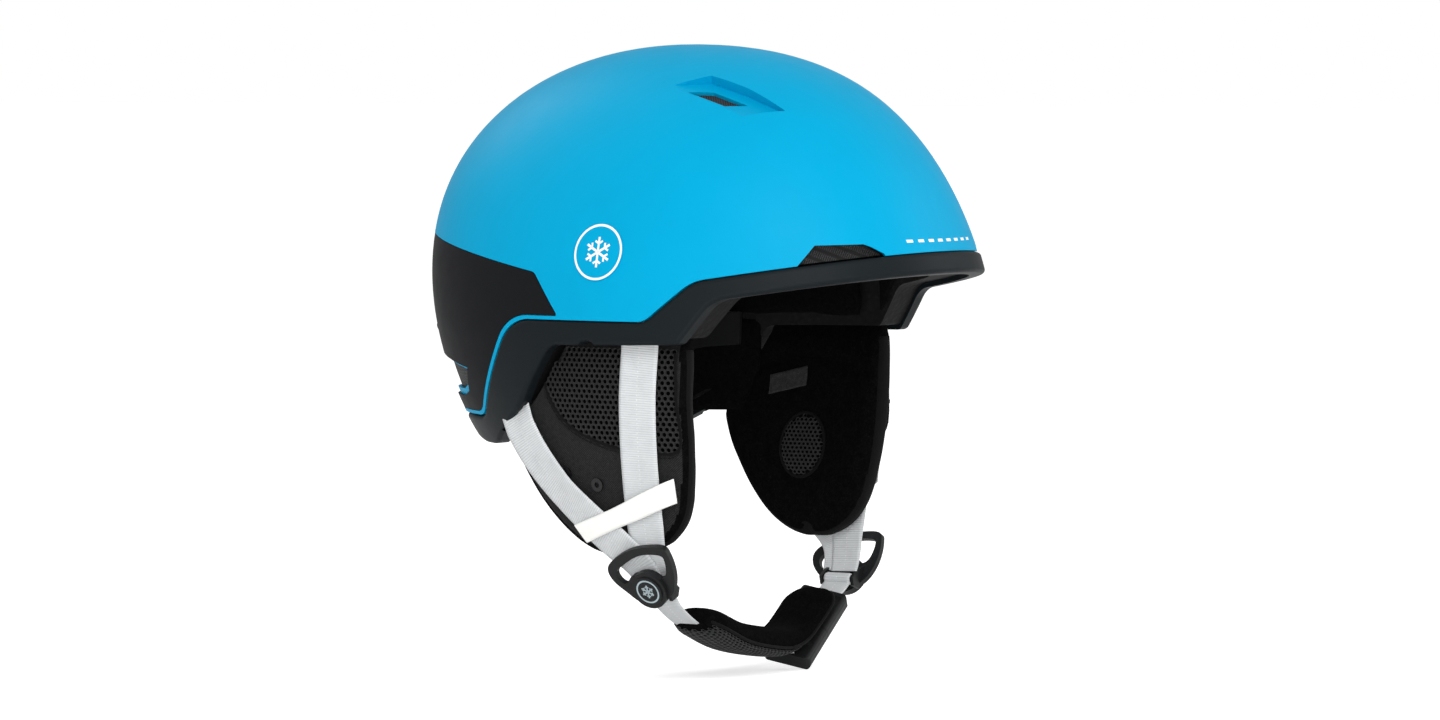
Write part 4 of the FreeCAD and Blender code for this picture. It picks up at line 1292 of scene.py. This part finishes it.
def bar_shape(start, end, wide, count=10):
    """Grid for a straight bar in the plane."""
    start, end = np.array(start, float), np.array(end, float)
    ahead = unit(end - start)
    side = np.array([-ahead[1], ahead[0]]) * wide / 2
    rows = []
    for i in range(count):
        p = start + (end - start) * i / (count - 1)
        rows.append([tuple(p - side), tuple(p), tuple(p + side)])
    return rows


def ring_shape(middle, radius, wide, count=96):
    rows = []
    for i in range(count + 1):
        a = 2 * math.pi * i / count
        row = []
        for r in (radius - wide / 2, radius, radius + wide / 2):
            row.append((middle[0] + r * math.cos(a), middle[1] + r * math.sin(a)))
        rows.append(row)
    return rows


def snowflake(middle, radius, wide):
    """Plain six-armed snow crystal."""
    shapes = []
    for k in range(6):
        a = math.radians(60 * k + 30)
        arm = np.array([math.cos(a), math.sin(a)])
        tip = np.array(middle) + arm * radius
        shapes.append(bar_shape(middle, tip, wide))
        for turn in (-1, 1):
            b = a + turn * math.radians(58)
            root = np.array(middle) + arm * radius * 0.56
            twig = root + np.array([math.cos(b), math.sin(b)]) * radius * 0.34
            shapes.append(bar_shape(root, twig, wide * 0.85, 4))
    return shapes


def hit_from(node, origin_of, direction):
    """Surface finder by a ray at a CAD node: millimetres in, place and normal out."""
    tree = tree_of(nodes[node].data)
    direction = Vector(direction).normalized()

    def hit(a, b):
        start = Vector(origin_of(a, b)) * MM
        place, normal = tree.ray_cast(start, direction)[:2]
        if place is None:
            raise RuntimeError("a printed mark misses the surface it lies on")
        if normal.dot(direction) > 0:
            normal = -normal
        return np.array(place) / MM, np.array(normal)

    return hit


def side_mark():
    hit = hit_from("side_badge", lambda y, z: (-150, y, z), (1, 0, 0))
    middle = (BADGE_Y, BADGE_Z)
    shapes = [ring_shape(middle, BADGE_R - 0.7, 1.1)] + snowflake(middle, 7.0, 1.15)
    return flat_mark("side_mark", shapes, hit, MARK)


def brow_mark():
    """Plain row of small dashes above the brow."""
    hit = hit_from("outer_shell", lambda x, z: (x, -250, z), (0, 1, 0))
    shapes = []
    for k in range(8):
        x = -26.0 + 7.43 * k
        shapes.append(bar_shape((x - 2.0, 51.4), (x + 2.0, 51.4), 1.3, 6))
    return flat_mark("brow_mark", shapes, hit, MARK, 0.08)


def cap_mark(side):
    """Pale ring and small crystal printed on the divider's cap."""
    node = "divider_cap_" + SIDES[side]
    low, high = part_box(node)
    middle = np.array((low + high) / 2) / MM
    tilt = math.radians(27)
    outward = np.array([side * math.cos(tilt), 0, -math.sin(tilt)])
    down = np.array([side * -math.sin(tilt), 0, -math.cos(tilt)])

    def origin_of(a, b):
        return middle + outward * 10 + np.array([0, 1.0, 0]) * a - down * b

    hit = hit_from(node, origin_of, -outward)
    shapes = [ring_shape((0, 0), 5.7, 0.8, 48)] + snowflake((0, 0), 3.4, 0.8)
    return flat_mark("cap_mark_" + SIDES[side], shapes, hit, RING, 0.05)


# ---- put it together ---------------------------------------------------------------

def blend_ear(piece):
    """Bake the piece's place into its mesh; it is fixed to no body."""
    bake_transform(piece)


def settle(piece, body, replaced=()):
    """Let a piece stand for CAD nodes and fix it to a body."""
    if replaced:
        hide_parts(*replaced)
    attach(piece, body)


def dress_ear(side, cushion, binding):
    """Soft parts of one ear flap; some ride on its body, the rest stay where they are built."""
    word = SIDES[side]
    body = "ear_" + word
    groove(cushion, speaker_ring(side, surface_finder(cushion), 59, 0), 2.2, 1.9, (side, 0, 0))
    find = surface_finder(cushion)
    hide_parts("ear_pad_" + word)
    net_panel = spacer_panel(side)
    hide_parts("ear_mesh_" + word)
    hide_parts("ear_binding_" + word)
    grille = speaker_grille(side, find)
    tape = keeper(side)
    threads = net_stitches(side)
    seam = net_seam(side)
    if side == LEFT:
        for piece in (net_panel, tape, threads, seam):
            set_coordinates(piece.data, hang_forward(coordinates(piece.data)))
    settle(web_loop(side), "chin_strap" if side == RIGHT else body)
    for piece in (cushion, net_panel, binding, threads, seam):
        blend_ear(piece)
    settle(grille, body, ["ear_grille_" + word])
    settle(grille_seam(side, find), body)
    settle(tape, body, ["strap_keeper_" + word])
    settle(cap_mark(side), body)
    for piece, kind in zip(side_straps(side), ("front", "rear")):
        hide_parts("strap_" + kind + "_" + word, "strap_root_" + kind + "_" + word)
        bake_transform(piece)
    if side == LEFT:
        settle(size_tag(find), body, ["ear_tag_left"])


def dress_chin():
    """Webs and pad of the chin strap."""
    web_right, web_left = chin_webs()
    settle(web_right, "chin_strap", ["chin_web_right"])
    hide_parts("chin_web_left")
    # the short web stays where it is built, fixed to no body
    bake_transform(web_left)
    settle(chin_cushion(), "chin_strap", ["chin_pad"])
    for piece in [chin_net()] + chin_seams():
        settle(piece, "chin_strap")


def dress_inside():
    """Pads and lining inside the shell; the left side pad mirrors the right one."""
    for node, body in (("brow_pad", "shell"), ("crown_pad", "shell"), ("cradle_pad", "fit_cradle")):
        settle(inner_pad(node, node + "_cushion"), body, [node])
    right = inner_pad("side_pads", "side_cushion_right")
    left = mirrored_copy(right, "side_cushion_left")
    settle(right, "shell", ["side_pads"])
    settle(left, "shell")
    settle(nape_lining(), "shell")


def build():
    dress_cad()
    right = ear_pad_right()
    binding = pad_binding(right)
    left = mirrored_copy(right, "ear_cushion_left")
    left_binding = mirrored_copy(binding, "pad_binding_left")
    for piece in (left, left_binding):
        set_coordinates(piece.data, hang_forward(coordinates(piece.data)))
    dress_ear(RIGHT, right, binding)
    dress_ear(LEFT, left, left_binding)
    dress_chin()
    dress_inside()
    for mark in (side_mark(), brow_mark()):
        settle(mark, "shell")


# ---- stage -------------------------------------------------------------------------

def stage_floor():
    corners = [(x * FLOOR_HALF, y * FLOOR_HALF, FLOOR_Z)
               for x, y in ((-1, -1), (1, -1), (1, 1), (-1, 1))]
    mesh = bpy.data.meshes.new("studio_floor")
    mesh.from_pydata(corners, [], [(0, 1, 2, 3)])
    paint = Paint("studio_paper", (0.93, 0.93, 0.93), 0.9, 0.1)
    paint.bump(paint.noise(6.0, 2.0), 0.02)
    # the paper glows a little for the camera only, so it meets the backdrop unseen
    rays = paint.add("ShaderNodeLightPath")
    paint.put("Emission Color", (1, 1, 1, 1))
    paint.link(paint.sum(rays.outputs["Is Camera Ray"], 0.5, "MULTIPLY"),
               paint.shader.inputs["Emission Strength"])
    mesh.materials.append(paint.material)
    floor = bpy.data.objects.new("studio_floor", mesh)
    bpy.context.scene.collection.objects.link(floor)


def soft_light(name, place, aim, size, watts):
    lamp = bpy.data.lights.new(name, "AREA")
    lamp.shape = "DISK"
    lamp.size = size
    lamp.energy = watts
    light = bpy.data.objects.new(name, lamp)
    light.location = place
    light.rotation_euler = (Vector(aim) - Vector(place)).to_track_quat("-Z", "Y").to_euler()
    bpy.context.scene.collection.objects.link(light)


def studio():
    scene = bpy.context.scene
    world = bpy.data.worlds.new("studio")
    world.use_nodes = True
    backdrop = world.node_tree.nodes["Background"]
    backdrop.inputs["Color"].default_value = (1, 1, 1, 1)
    rays = world.node_tree.nodes.new("ShaderNodeLightPath")
    level = world.node_tree.nodes.new("ShaderNodeMapRange")
    level.inputs["To Min"].default_value = 0.6
    level.inputs["To Max"].default_value = 1.0
    world.node_tree.links.new(rays.outputs["Is Camera Ray"], level.inputs["Value"])
    world.node_tree.links.new(level.outputs["Result"], backdrop.inputs["Strength"])
    scene.world = world
    scene.view_settings.view_transform = "Standard"
    scene.view_settings.look = "None"
    stage_floor()
    # name, place, aim, size and watts
    for lamp in (("key", (-1.8, -1.9, 1.7), (0, 0, 0), 1.8, 50),
                 ("low", (-1.5, -0.9, -0.02), (0, 0, -0.08), 0.5, 9),
                 ("fill", (1.6, -1.6, 0.8), (0, 0, -0.03), 1.4, 12),
                 ("rim_light", (0.4, 2.0, 1.6), (0, 0, 0), 1.2, 14)):
        soft_light(*lamp)
    a = math.radians(CAMERA_AZIMUTH)
    e = math.radians(CAMERA_ELEVATION)
    back = Vector((math.sin(a) * math.cos(e), -math.cos(a) * math.cos(e), math.sin(e)))
    lens = bpy.data.cameras.new("camera")
    lens.sensor_width = 36.0
    lens.lens = CAMERA_LENS
    lens.shift_x, lens.shift_y = CAMERA_SHIFT
    camera = bpy.data.objects.new("camera", lens)
    camera.location = back * CAMERA_DISTANCE
    camera.rotation_euler = (-back).to_track_quat("-Z", "Y").to_euler()
    scene.collection.objects.link(camera)
    scene.camera = camera


studio()
build()
